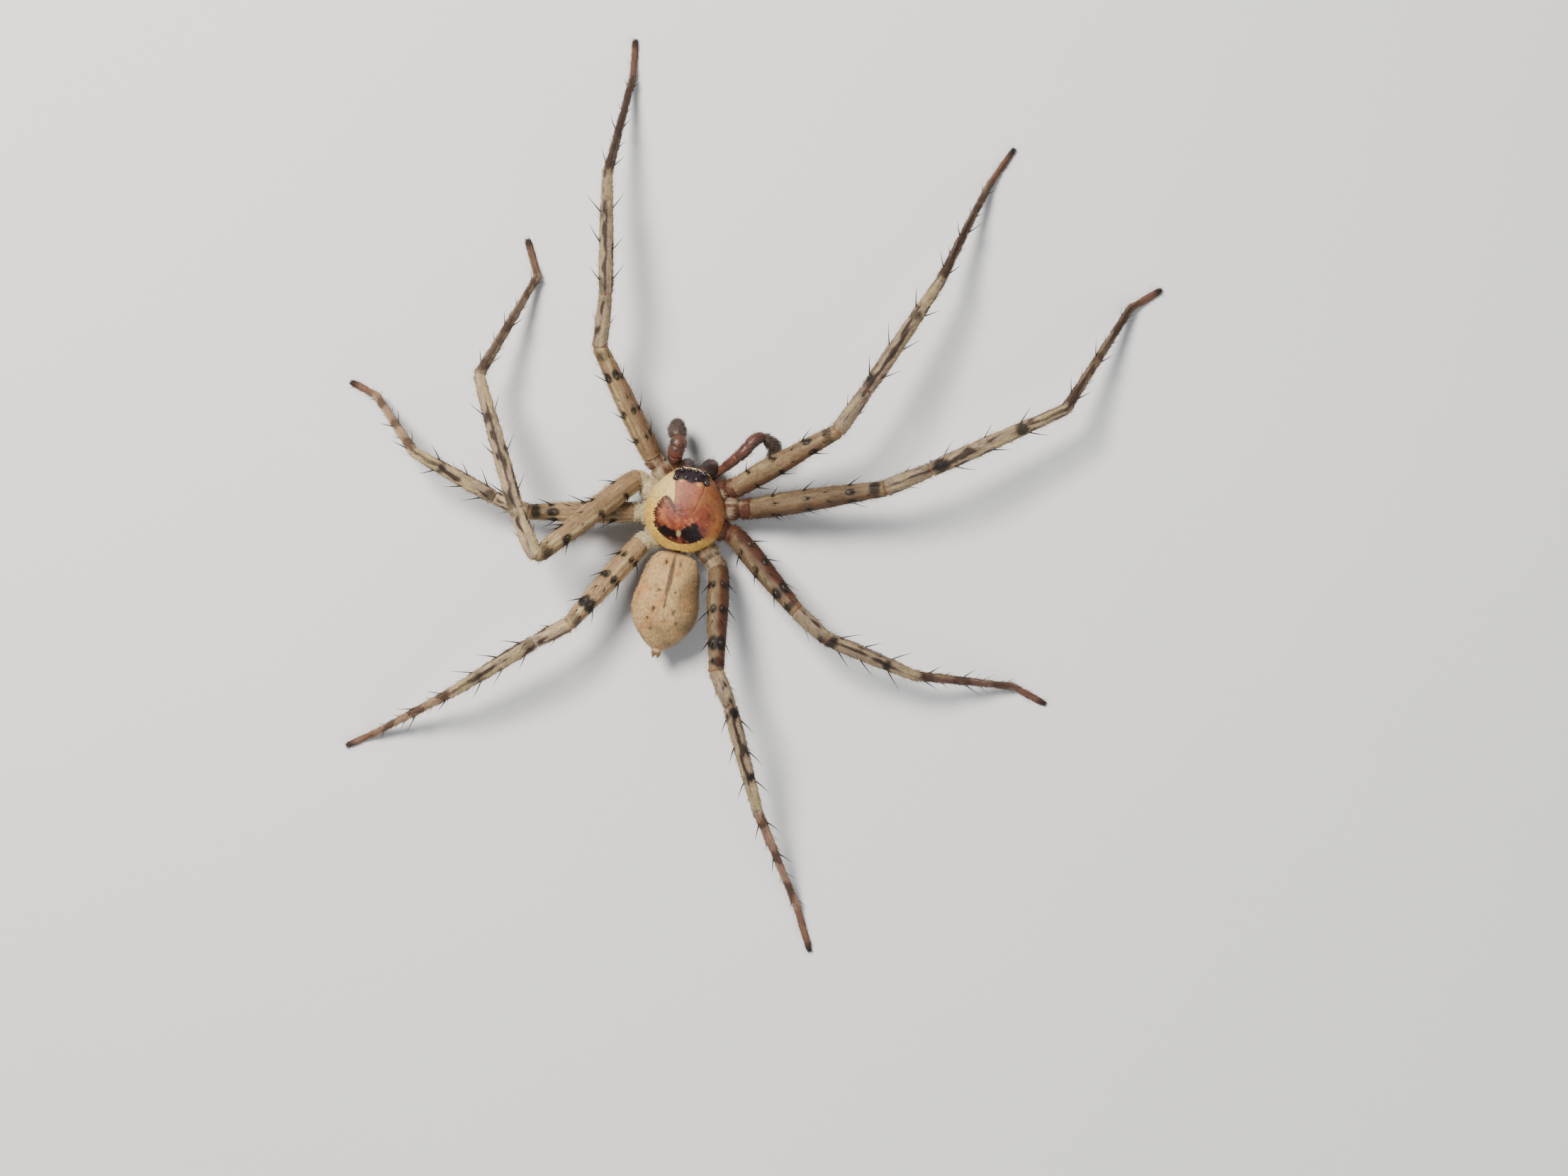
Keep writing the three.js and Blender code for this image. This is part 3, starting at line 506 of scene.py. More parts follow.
class Coat:
    """Many hairs in one mesh, each with its own small patch of the coat map at the place of its root."""

    RING = 3
    DEPTH = 0.03
    SWAY = 14
    LIFT_SPREAD = 6
    LENGTHS = (0.7, 1.25)
    TONES = (0.75, 1.0, 1.2)

    def __init__(self):
        self.points = []
        self.tints = []
        self.maps = []

    def grow(self, surface, seed, density, length, lift, width, droop=22, shade=(0.62, 1.3)):
        """Plants seeded hairs on a surface: how many a square mm, their length in mm, their lift and droop in
        degrees, and their tint beside the skin's. Density, length and lift are numbers or grids."""
        draw = np.random.default_rng(seed)
        p = surface.points
        grids = [np.broadcast_to(np.asarray(value, float), p.shape[:2]) for value in (density, length, lift)]
        density, length, lift = grids
        right = np.roll(p, -1, axis=1)
        areas = np.linalg.norm(np.cross(right[:-1] - p[:-1], p[1:] - p[:-1]), axis=-1)
        wanted = (areas * density[:-1]).ravel()
        count = int(wanted.sum())
        cells = draw.choice(wanted.size, size=count, p=wanted / wanted.sum())
        sides = p.shape[1]
        u = cells // sides + draw.random(count)
        v = cells % sides + draw.random(count)
        root = surface.read(p, u, v)
        normal = unit(surface.read(surface.normals, u, v))
        flow = unit(surface.read(surface.flow, u, v))
        yaw = np.radians(draw.normal(0, self.SWAY, count))[:, None]
        aim = flow * np.cos(yaw) + np.cross(normal, flow) * np.sin(yaw)
        rise = surface.read(lift, u, v)[:, 0] + draw.normal(0, self.LIFT_SPREAD, count)
        long = surface.read(length, u, v) * draw.uniform(*self.LENGTHS, (count, 1))
        first = self.rising(aim, normal, rise)
        second = self.rising(aim, normal, rise - droop)
        base = root - normal * self.DEPTH
        middle = base + first * long * 0.5
        side = np.cross(first, normal)
        points = []
        for centre, share in ((base, 0.5), (middle, 0.38)):
            for corner in range(self.RING):
                turn = 2 * np.pi * corner / self.RING
                points.append(centre + (side * np.cos(turn) + normal * np.sin(turn)) * width * share)
        points.append(middle + second * long * 0.5)
        tint = surface.read(surface.tints, u, v) * draw.uniform(*shade, (count, 1))
        tone = np.repeat(self.TONES, (self.RING, self.RING, 1))
        points = np.stack(points, axis=1)
        points[..., 2] = np.maximum(points[..., 2], FLOOR_CLEARANCE)
        self.points.append(points)
        self.tints.append(np.clip(tint[:, None] * tone[None, :, None], 0, 1))
        self.maps.append(np.stack([u / p.shape[0], v / sides], axis=1))

    @staticmethod
    def rising(aim, normal, degrees):
        angle = np.radians(np.clip(degrees, -4, 85))[:, None]
        return aim * np.cos(angle) + normal * np.sin(angle)

    def piece(self, name):
        points = np.concatenate(self.points)
        tints = np.concatenate(self.tints)
        maps = np.concatenate(self.maps)
        count, corners = points.shape[:2]
        pattern = []
        for a in range(self.RING):
            b = (a + 1) % self.RING
            pattern += [(a, b, b + self.RING), (a, b + self.RING, a + self.RING)]
            pattern.append((a + self.RING, b + self.RING, 2 * self.RING))
        pattern = np.array(pattern)
        faces = (np.arange(count)[:, None, None] * corners + pattern).reshape(-1, 3)
        piece = make_mesh(name, points.reshape(-1, 3), [faces], tints.reshape(-1, 3))
        spots = [(c / self.RING, row * 0.5) for row in range(2) for c in range(self.RING)] + [(0.5, 1.0)]
        per_point = maps[:, None] * MAP_REACH + np.array(spots)[None] * PATCH_SIZE
        layer = piece.data.uv_layers.new(name=COAT_MAP)
        layer.data.foreach_set("uv", per_point[:, pattern.ravel()].astype(np.float32).ravel())
        return piece


def tube(centres, widths, heights, sides, top=UP):
    """Rings round a line; side 0 is on top."""
    along = unit(np.gradient(centres, axis=0))
    across = unit(np.cross(top, along))
    over = unit(np.cross(along, across))
    angle = np.arange(sides) * 2 * np.pi / sides
    sideways = across[:, None] * np.sin(angle)[None, :, None] * widths[:, None, None] / 2
    upwards = over[:, None] * np.cos(angle)[None, :, None] * heights[:, None, None] / 2
    return centres[:, None] + sideways + upwards, angle


def round_off(centres, widths, steps=7):
    """Adds rings that close the far end of a line with a dome."""
    direction = unit(centres[-1] - centres[-2])
    angles = np.linspace(0, np.pi / 2, steps + 1)[1:] * 0.97
    more = centres[-1] + direction * np.sin(angles)[:, None] * widths[-1] / 2
    return np.vstack([centres, more]), np.concatenate([widths, widths[-1] * np.cos(angles)])


# Legs

def leg_joints(leg):
    """The joints of a leg from its root to its tip, and the direction in which it leaves the body."""
    pair, side, hip, reaches, bearings, heights = LEGS[leg]
    start = np.array(STERNUM_CORNERS[pair - 1])
    end = np.array(STERNUM_CORNERS[pair])
    run = end - start
    outwards = unit(np.array([run[1] * side, -run[0], 0.0]))
    middle = (start + end) / 2
    root = np.array([side * middle[0], middle[1], (STERNUM_BOTTOM + STERNUM_TOP) / 2])
    joints = [root + outwards * JOINT_GAP / 2, np.array([*hip, HIP_HEIGHT])]
    for reach, bearing, height in zip(reaches, bearings, [*heights, SOLE_HEIGHT]):
        turn = np.radians(bearing)
        x, y = joints[-1][:2] + reach * np.array([np.cos(turn), np.sin(turn)])
        joints.append(np.array([x, y, height]))
    return joints, outwards


def corner_reach(joints, widths):
    """How far from each joint its rounded corner starts."""
    reach = np.zeros(len(joints))
    for n in range(1, len(joints) - 1):
        before = joints[n] - joints[n - 1]
        after = joints[n + 1] - joints[n]
        turn = np.arccos(np.clip(unit(before) @ unit(after), -1, 1))
        shorter = min(np.linalg.norm(before), np.linalg.norm(after))
        reach[n] = min(0.45 * shorter, widths[n] / 2 * np.tan(turn / 2) + 0.15)
    return reach


def leg_centre(joints, reach, n, t):
    """Places on a leg's middle line at shares t of segment n, its corners rounded."""
    start, end = joints[n], joints[n + 1]
    length = np.linalg.norm(end - start)
    along = (end - start) / length
    over = unit(np.cross(along, np.cross(UP, along)))
    straight = start + along * (t * length)[:, None]
    places = straight + over * (SEGMENT_BOW[n] * length * np.sin(np.pi * t))[:, None]
    if n == TARSUS:
        ankle = start[2] + (end[2] - start[2]) * 0.55
        drop = [(0, start[2]), (0.25, ankle), (SOLE_START, end[2]), (1, end[2])]
        places[:, 2] = smooth_at(drop, t)
    for joint, other, here in ((n, n - 1, t * length), (n + 1, n + 2, (1 - t) * length)):
        inner = here < reach[joint]
        if not inner.any():
            continue
        own = joints[joint] + (along if joint == n else -along) * reach[joint]
        far = joints[joint] + unit(joints[other] - joints[joint]) * reach[joint]
        w = (0.5 * here[inner] / reach[joint] + 0.5)[:, None]
        curve = far * (1 - w) ** 2 + joints[joint] * 2 * w * (1 - w) + own * w**2
        places[inner] += curve - straight[inner]
    return places


def leg_rows(leg):
    """Samples along a leg: middle, width, segment, share of it, distance to the nearest joint, and length."""
    joints, outwards = leg_joints(leg)
    stout = STOUTNESS[LEGS[leg][0]]
    widths = [JOINT_WIDTHS[0]] + [width * stout for width in JOINT_WIDTHS[1:]]
    reach = corner_reach(joints, widths)
    near = np.arange(0.0, JOINT_REACH, JOINT_STEP)
    root = joints[0] - outwards * ROOT_DEPTH
    parts = [(root[None], [ROOT_WIDTH], [COXA], [0.0], [NO_JOINT], [ROOT_LENGTH])]
    for n in range(len(SEGMENTS)):
        length = np.linalg.norm(joints[n + 1] - joints[n])
        even = np.linspace(0, 1, int(length / LEG_STEP))
        t = np.unique(np.concatenate([even, near / length, 1 - near / length]).round(5))
        t = t[(t >= 0) & (t <= 1)]
        if n < TARSUS:
            t = t[t < 1 - 1e-4]
        between = [(at, width * stout) for at, width in SEGMENT_WIDTHS[n]]
        profile = [(0, widths[n]), *between, (1, widths[n + 1])]
        to_start = np.abs(t - TROCHANTER) * length if n == COXA else t * length
        to_end = (1 - t) * length if n < TARSUS else (1 - t) * length + NO_JOINT
        parts.append((leg_centre(joints, reach, n, t), smooth_at(profile, t), np.full(len(t), n), t,
                      np.minimum(to_start, to_end), np.full(len(t), length)))
    names = ("centre", "width", "segment", "t", "joint", "length")
    return {name: np.concatenate(values) for name, values in zip(names, zip(*parts))}, joints


def groove(distance):
    """How much a leg narrows in the soft ring at a joint, and swells at the lips beside it."""
    return 1 - 0.13 * hill(distance, 0, 0.1) + 0.035 * hill(distance, 0.3, 0.16)


def spine_draws(seed):
    """A seeded draw between -1 and 1, the same one as the solids' spines are placed with."""
    state = seed
    while True:
        state = (state * 1664525 + 1013904223) % 4294967296
        yield state / 2147483648 - 1


def leg_spines(leg):
    """Every large spine of a leg: its segment, share along it, angle round it, lean and length."""
    pair, side = LEGS[leg][:2]
    draws = spine_draws(pair * 10 + side)
    spines = []
    for n, (places, around, length) in SPINE_ROWS.items():
        for place in places:
            for hand in (1, -1):
                t = place + 0.03 * next(draws)
                angle = np.radians(around * hand + 9 * next(draws))
                lean = np.radians(SPINE_LEAN + 8 * next(draws))
                spines.append((n, t, angle, lean, length * (1 + 0.16 * next(draws))))
    return spines


def hash_of(text):
    """A small number that stands for a name, the same on every run."""
    return sum((place + 1) * ord(letter) for place, letter in enumerate(text)) % 9973


def spot(tint, rows, angle, n, at, turn, size):
    """A dark spot with a pale socket, where a large spine is rooted."""
    size = size * SPOT_SIZES[n]
    on = (rows["segment"] == n)[:, None]
    along = ((rows["t"] - at) * rows["length"])[:, None]
    apart = (angle - turn + np.pi) % (2 * np.pi) - np.pi
    across = apart[None, :] * rows["width"][:, None] / 2
    dark = np.hypot((along - 0.1) / 0.5, across / 0.35) / size
    pale = np.hypot(along / 0.12, across / 0.08)
    tint = mix(tint, SPOT, (1 - ramp(dark, 0.75, 1.15)) * on * 0.95)
    return mix(tint, SOCKET, (1 - ramp(pale, 0.7, 1.2)) * on * 0.7)


def leg_tints(leg, rows, angle):
    """The colours of a leg's skin: khaki with dark spots at the spines, and stripes and bands further out."""
    look = LEG_LOOKS[leg]
    segment = rows["segment"][:, None]
    t = rows["t"][:, None]
    place = segment + t
    whole = np.ones((len(t), len(angle)))
    turn = (angle[None, :] + np.pi) % (2 * np.pi) - np.pi
    distance = lengths_along(rows["centre"])[:, None] * whole
    sideways = np.sin(turn) * rows["width"][:, None] / 2
    upwards = np.cos(turn) * rows["width"][:, None] / 2
    streak = field(np.stack([distance * 0.2, sideways * 3.2, upwards * 3.2], axis=-1), 11 + len(leg))
    mottle = field(np.stack([distance * 0.8, sideways * 1.1, upwards * 1.1], axis=-1), hash_of(leg))
    top = 0.5 + 0.5 * np.cos(turn)

    # Ground colour, paler on top and darker down the sides and underside as painted shade, paler shins, and
    # lengthwise stripes that grow stronger outwards
    tint = mix(KHAKI_SHADE, KHAKI, ramp(top + 0.06 * mottle, 0.05, 0.75) * whole)
    tint = mix(tint, KHAKI_SHADE * 0.75, ramp(streak + 0.6 * mottle, 0.2, 1.8) * 0.6)
    shin = ramp(place, PATELLA - 0.02, PATELLA + 0.1) * (1 - ramp(place, METATARSUS + 0.5, TARSUS)) * whole
    tint = mix(tint, ASH, shin * 0.8)
    outer = ramp(place, PATELLA - 0.05, PATELLA + 0.3)
    lines = np.cos(4 * turn + 1.3 * mottle) * look["stripes"] * outer
    stripes = 0.9 * streak + 0.45 * mottle - 0.8 * lines
    tint = mix(tint, PALE_STRIPE, ramp(stripes, 0.25, 1.2) * 0.85)
    tint = mix(tint, DARK_STRIPE, ramp(-stripes, 0.2, 0.9) * (0.3 + 0.65 * outer))

    # Dark bands near the joints, a pale one at the end of the shin
    marks = (hill(t, 0.06, 0.07) + hill(t, 0.66, 0.05)) * (segment == TIBIA)
    marks = marks + hill(t, 0.93, 0.05) * (segment == FEMUR) + 0.5 * hill(t, 0.9, 0.15) * (segment == PATELLA)
    marks = marks * (0.35 + 0.65 * hill(turn, np.radians(look["rows"][0]), 1.1))
    tint = mix(tint, SPOT * 1.3, ramp(marks + 0.12 * streak + 0.12 * mottle, 0.3, 0.75) * look["bands"])
    tint = mix(tint, PALE_STRIPE, hill(place, TIBIA + 0.87, 0.1) * (0.4 + 0.15 * streak))

    # The foot, its brown tip, and the hip
    pale_line = 0.4 * look["stripes"] * hill(np.abs(turn), 0.8, 0.3)
    foot_tint = mix(look["foot"], PALE_STRIPE, pale_line * whole + 0.16 * streak)
    patch = ramp(np.sin(t * 17 + 0.8 * mottle), 0.0, 0.6) * 0.8
    foot_tint = mix(foot_tint, FOOT_BROWN, patch * (segment == METATARSUS))
    foot_tint = mix(foot_tint, TARSUS_BROWN, 0.7 * ramp(place, TARSUS - 0.03, TARSUS + 0.1) * whole)
    foot_tint = mix(foot_tint, SPOT, 0.8 * ramp(place, TARSUS + 0.72, TARSUS + 0.98) * whole)
    tint = mix(tint, foot_tint, ramp(place, METATARSUS - 0.02, METATARSUS + 0.05) * whole)
    # The hips turn red-brown by each leg's hip value, mostly painted shade on the animal's right
    hip = mix(COXA_CREAM, COXA_RED, look["hip"] * (1 + 0.4 * mottle + 0.3 * streak))
    tint = mix(tint, hip, (1 - ramp(place, FEMUR - 0.06, FEMUR + 0.03)) * whole)

    # The brown underside, the red-brown side of the thigh away from the light, and the darker legs on the
    # animal's right: painted shade, the last mixed with each leg's own tone
    tint = mix(tint, PAINTED_UNDERSIDE_SHADE, (1 - ramp(top, 0.1, 0.5)) * 0.35 * (segment > COXA))
    shade_strength = abs(look["red"])
    shaded_side = np.sin(turn) * np.sign(look["red"]) + 0.2 * mottle + 0.1 * streak
    shaded_side = ramp(shaded_side, 0.35 - 0.7 * shade_strength, 0.9 - 0.6 * shade_strength)
    thigh = (segment == FEMUR) * (1 - 0.6 * ramp(t, 0.8, 1.0)) * whole
    tint = mix(tint, PAINTED_SHADE_RED, shaded_side * shade_strength * thigh)
    thigh_tone_and_shade = look["tone_and_shade"] * np.maximum(thigh, 0.5 * (segment == PATELLA))
    tint = tint * (1 - 0.45 * (thigh_tone_and_shade + look["shin"] * shin + 0.14 * mottle))[..., None]

    # Spots where the spines are rooted, and the soft rings of the joints
    for n, at, round_leg, _, _ in leg_spines(leg):
        tint = spot(tint, rows, angle, n, at, round_leg, look["spots"] * 0.7)
    for at, size in TOP_SPOTS:
        for degrees in look["rows"]:
            tint = spot(tint, rows, angle, FEMUR, at, np.radians(degrees), look["spots"] * size)
    joint = hill(rows["joint"], 0, 0.1)[:, None] * (segment > COXA) * (segment < METATARSUS)
    # The joint rings redden with the same hip value, so they carry its painted shade too
    soft_ring = mix(COXA_CREAM, MEMBRANE, np.array(0.3 + 0.7 * look["hip"]))
    return mix(tint, soft_ring, 0.65 * joint * whole)


def leg_skin(leg):
    """One continuous skin from the flank to the tip of the tarsus."""
    rows, joints = leg_rows(leg)
    centres, widths = round_off(rows["centre"], rows["width"] * groove(rows["joint"]))
    added = len(widths) - len(rows["width"])
    for key in ("segment", "t", "joint", "length"):
        rows[key] = np.concatenate([rows[key], np.full(added, rows[key][-1])])
    place = rows["segment"] + rows["t"]
    sunk = ramp(place, FEMUR, FEMUR + 0.6) * (1 - ramp(place, TIBIA + 0.4, METATARSUS))
    centres = centres - UP * LEG_SINK * sunk[:, None]
    rows["centre"] = centres
    rows["width"] = widths
    taller = np.where(rows["segment"] == FEMUR, FEMUR_TALLER, 1.0)
    points, angle = tube(centres, widths, widths * taller, LEG_SIDES)
    swell = field(points * 1.1, hash_of(leg) + 5)[..., None] * LEG_SWELL
    points = points + unit(points - centres[:, None]) * swell
    points[..., 2] = np.maximum(points[..., 2], SKIN_CLEARANCE)
    return Surface(points, leg_tints(leg, rows, angle)), rows, joints


def leg_coat(surface, rows, seed):
    """Short hair lying along the leg, a few long fine ones, and a dark brush under the tarsus."""
    coat = Coat()
    density, length, lift = np.array(LEG_HAIR, float)[rows["segment"]].T[..., None]
    coat.grow(surface, seed, density, length, lift, width=0.032, shade=(0.6, 1.9))
    place = (rows["segment"] + rows["t"])[:, None]
    walking = (rows["segment"] >= TIBIA)[:, None]
    fringe = ramp(-surface.normals[..., 2], -0.2, 0.5) * (1 - walking)
    knee = hill(place, PATELLA + 0.5, 0.7)
    coat.grow(surface, seed + 1, 2.2 + 3 * walking + 7 * fringe, length=0.95, lift=50 - 20 * knee,
              width=0.024, droop=10, shade=(0.35, 1.1))
    coat.grow(surface, seed + 3, 9, length=0.5, lift=44, width=0.024, shade=(0.5, 1.6))
    brush = ramp(place, TARSUS + 0.35, TARSUS + 0.8)
    low = ramp(-surface.normals[..., 2], -0.5, 0.4)
    coat.grow(surface, seed + 2, 150 * brush * low, length=0.34, lift=18, width=0.04, shade=(0.25, 0.6))
    return coat


def spike(root, direction, length, radius, bend, sides=7, rings=7, tip=0.08):
    """A slender taper that bends towards a given direction as it goes."""
    t = np.linspace(0, 1, rings)
    ways = unit(direction + bend * t[:, None])
    steps = ways * length / (rings - 1)
    centres = root + np.vstack([[0, 0, 0], np.cumsum(steps, axis=0)[:-1]])
    widths = 2 * radius * (1 - (1 - tip) * t ** 1.25)
    top = UP if abs(unit(direction)[2]) < 0.9 else AHEAD
    return tube(centres, widths, widths, sides, top)[0]


def join_spikes(name, spikes, tints):
    """Many spikes as one mesh, each closed at both ends."""
    points = []
    quads = []
    fans = []
    colours = []
    total = 0
    for rings, tint in zip(spikes, tints):
        rows, sides = rings.shape[:2]
        points.append(rings.reshape(-1, 3))
        share = np.repeat(np.linspace(0, 1, rows), sides)[:, None]
        colours.append(tint * (1.25 - 0.5 * share))
        quads.append(ring_faces(rows, sides)[:, ::-1] + total)
        a = np.arange(1, sides - 1)
        fans.append(np.stack([np.zeros_like(a), a, a + 1], axis=1) + total)
        last = total + (rows - 1) * sides
        fans.append(np.stack([np.zeros_like(a), a + 1, a], axis=1) + last)
        total += rows * sides
    faces = [np.concatenate(quads), np.concatenate(fans)]
    return make_mesh(name, np.concatenate(points), faces, np.clip(np.concatenate(colours), 0, 1))


def place_on(surface, rows, n, at, turn):
    """The point, outward direction and way along the leg at a share of a segment and an angle round it."""
    inside = np.where(rows["segment"] == n)[0]
    u = np.array([np.interp(at, rows["t"][inside], inside)])
    v = np.array([(turn % (2 * np.pi)) / (2 * np.pi) * surface.points.shape[1]])
    grids = (surface.points, surface.normals, surface.flow)
    place, normal, flow = (surface.read(grid, u, v)[0] for grid in grids)
    return place, unit(normal), unit(flow)


def planned_spines(leg, draw):
    """Every spine of a dressed leg: the solids' large ones, one on each top spot, and small ones between."""
    planned = [(*spine, SPINE_RADIUS) for spine in leg_spines(leg)]
    for at, _ in TOP_SPOTS:
        for degrees in LEG_LOOKS[leg]["rows"]:
            planned.append((FEMUR, at, np.radians(degrees), np.radians(TOP_SPINE_LEAN), TOP_SPINE_LENGTH,
                            SPINE_RADIUS * 0.6))
    for n, (places, around) in SMALL_SPINE_ROWS.items():
        for place in places:
            for hand in (1, -1):
                at = place + draw.uniform(-0.03, 0.03)
                turn = np.radians(around * hand + draw.uniform(-9, 9))
                planned.append((n, at, turn, np.radians(SMALL_SPINE_LEAN), draw.uniform(*SMALL_SPINE_LENGTHS),
                                SPINE_RADIUS * 0.62))
    return planned


def make_leg_spines(leg, surface, rows):
    draw = np.random.default_rng(hash_of(leg))
    spikes = []
    tints = []
    sunk = 0.12
    for n, at, turn, lean, length, radius in planned_spines(leg, draw):
        foot, normal, flow = place_on(surface, rows, n, at, turn)
        direction = flow * np.cos(lean) + normal * np.sin(lean)
        direction[2] = max(direction[2], (0.3 - foot[2]) / length)
        rings = spike(foot - direction * sunk, direction, length + sunk, radius, flow * 0.3)
        rings[..., 2] = np.maximum(rings[..., 2], FLOOR_CLEARANCE)
        spikes.append(rings)
        tints.append(SPINE_BLACK * draw.uniform(0.8, 1.6))
    dress(join_spikes(f"{leg}_spines", spikes, tints), "spine_horn")


def make_claws(leg, joints):
    """Two small hooked claws at the tip of a tarsus."""
    tip = joints[-1]
    forward = unit((tip - joints[-2]) * np.array([1.0, 1.0, 0.0]))
    sideways = np.cross(UP, forward)
    spikes = []
    for side in (1, -1):
        root = np.array([tip[0], tip[1], SOLE_HEIGHT + 0.06]) + forward * 0.1 + sideways * side * CLAW_SPREAD
        direction = forward + sideways * side * 0.22 + UP * 0.35
        rings = spike(root, unit(direction), CLAW_LENGTH, CLAW_RADIUS, -UP * 1.15, rings=9, tip=0.12)
        rings[..., 2] = np.maximum(rings[..., 2], FLOOR_CLEARANCE)
        spikes.append(rings)
    dress(join_spikes(f"{leg}_claws", spikes, [SPINE_BLACK] * 2), "spine_horn")


def make_leg(leg):
    surface, rows, joints = leg_skin(leg)
    nodes = [f"{leg}_{segment}" for segment in ("coxa", "femur", "patella", "tibia", "foot")]
    dress(surface.piece(f"{leg}_skin", SKIN_TONE), "leg_skin", nodes)
    coat = leg_coat(surface, rows, hash_of(leg))
    dress(coat.piece(f"{leg}_hair"), "short_hair")
    make_leg_spines(leg, surface, rows)
    make_claws(leg, joints)


# The carapace

def carapace_half(y):
    return smooth_at(CARAPACE_HALF_WIDTHS, y)


def carapace_height(x, y):
    """Height of the plain dome over a point seen from above."""
    share = np.clip(np.abs(x) / carapace_half(y), 0, 1)
    behind = ramp(y, CARAPACE_FRONT, HEAD_END)
    squareness = HEAD_SQUARENESS + (REAR_SQUARENESS - HEAD_SQUARENESS) * behind
    crest = smooth_at(CARAPACE_CREST, y)
    return CARAPACE_UNDERSIDE + CARAPACE_RIM + crest * (1 - share ** squareness) ** SHOULDER_POWER


def carapace_normal(x, y):
    step = 0.05
    slope_x = (carapace_height(x + step, y) - carapace_height(x - step, y)) / (2 * step)
    slope_y = (carapace_height(x, y + step) - carapace_height(x, y - step)) / (2 * step)
    return unit(np.stack([-slope_x, -slope_y, np.ones_like(slope_x)], axis=-1))


def shell_relief(x, y):
    """The pit in the middle, the grooves that run out from it, and the edge of the head."""
    pit = hill(x, 0, 0.09) * (1 - ramp(np.abs(y - FOVEA_Y), FOVEA_LENGTH * 0.35, FOVEA_LENGTH * 0.6))
    turn = np.arctan2(np.abs(x), FOVEA_Y - y)
    away = np.hypot(x, y - FOVEA_Y)
    rays = sum(hill(turn, middle, 0.09) for middle in (0.95, 1.5, 2.05, 2.6))
    rays = rays * (ramp(away, 0.5, 1.0) * (1 - ramp(away, 2.0, 3.2)))
    head = hill(np.abs(x) - smooth_at(HEAD_SIDE, y), 0, 0.2) * (y < 1.8) * ramp(y, -3.2, -2.2)
    grain = field(np.stack([x, y], axis=-1) * 2.6, 24)
    return -0.16 * pit - 0.022 * rays - 0.03 * head + 0.008 * grain


def serration(x, y):
    """The toothed outline of the red field."""
    places = np.stack([x, y], axis=-1)
    uneven = np.arctan2(np.abs(x), 1.0 - y) + 0.06 * field(places * 0.8, 4)
    teeth = np.abs((uneven * 8.5) % 1 - 0.5) * 2 + 0.5 * np.abs((uneven * 14.3) % 1 - 0.5)
    return 0.24 * teeth + 0.08 * field(places * 1.5, 3)


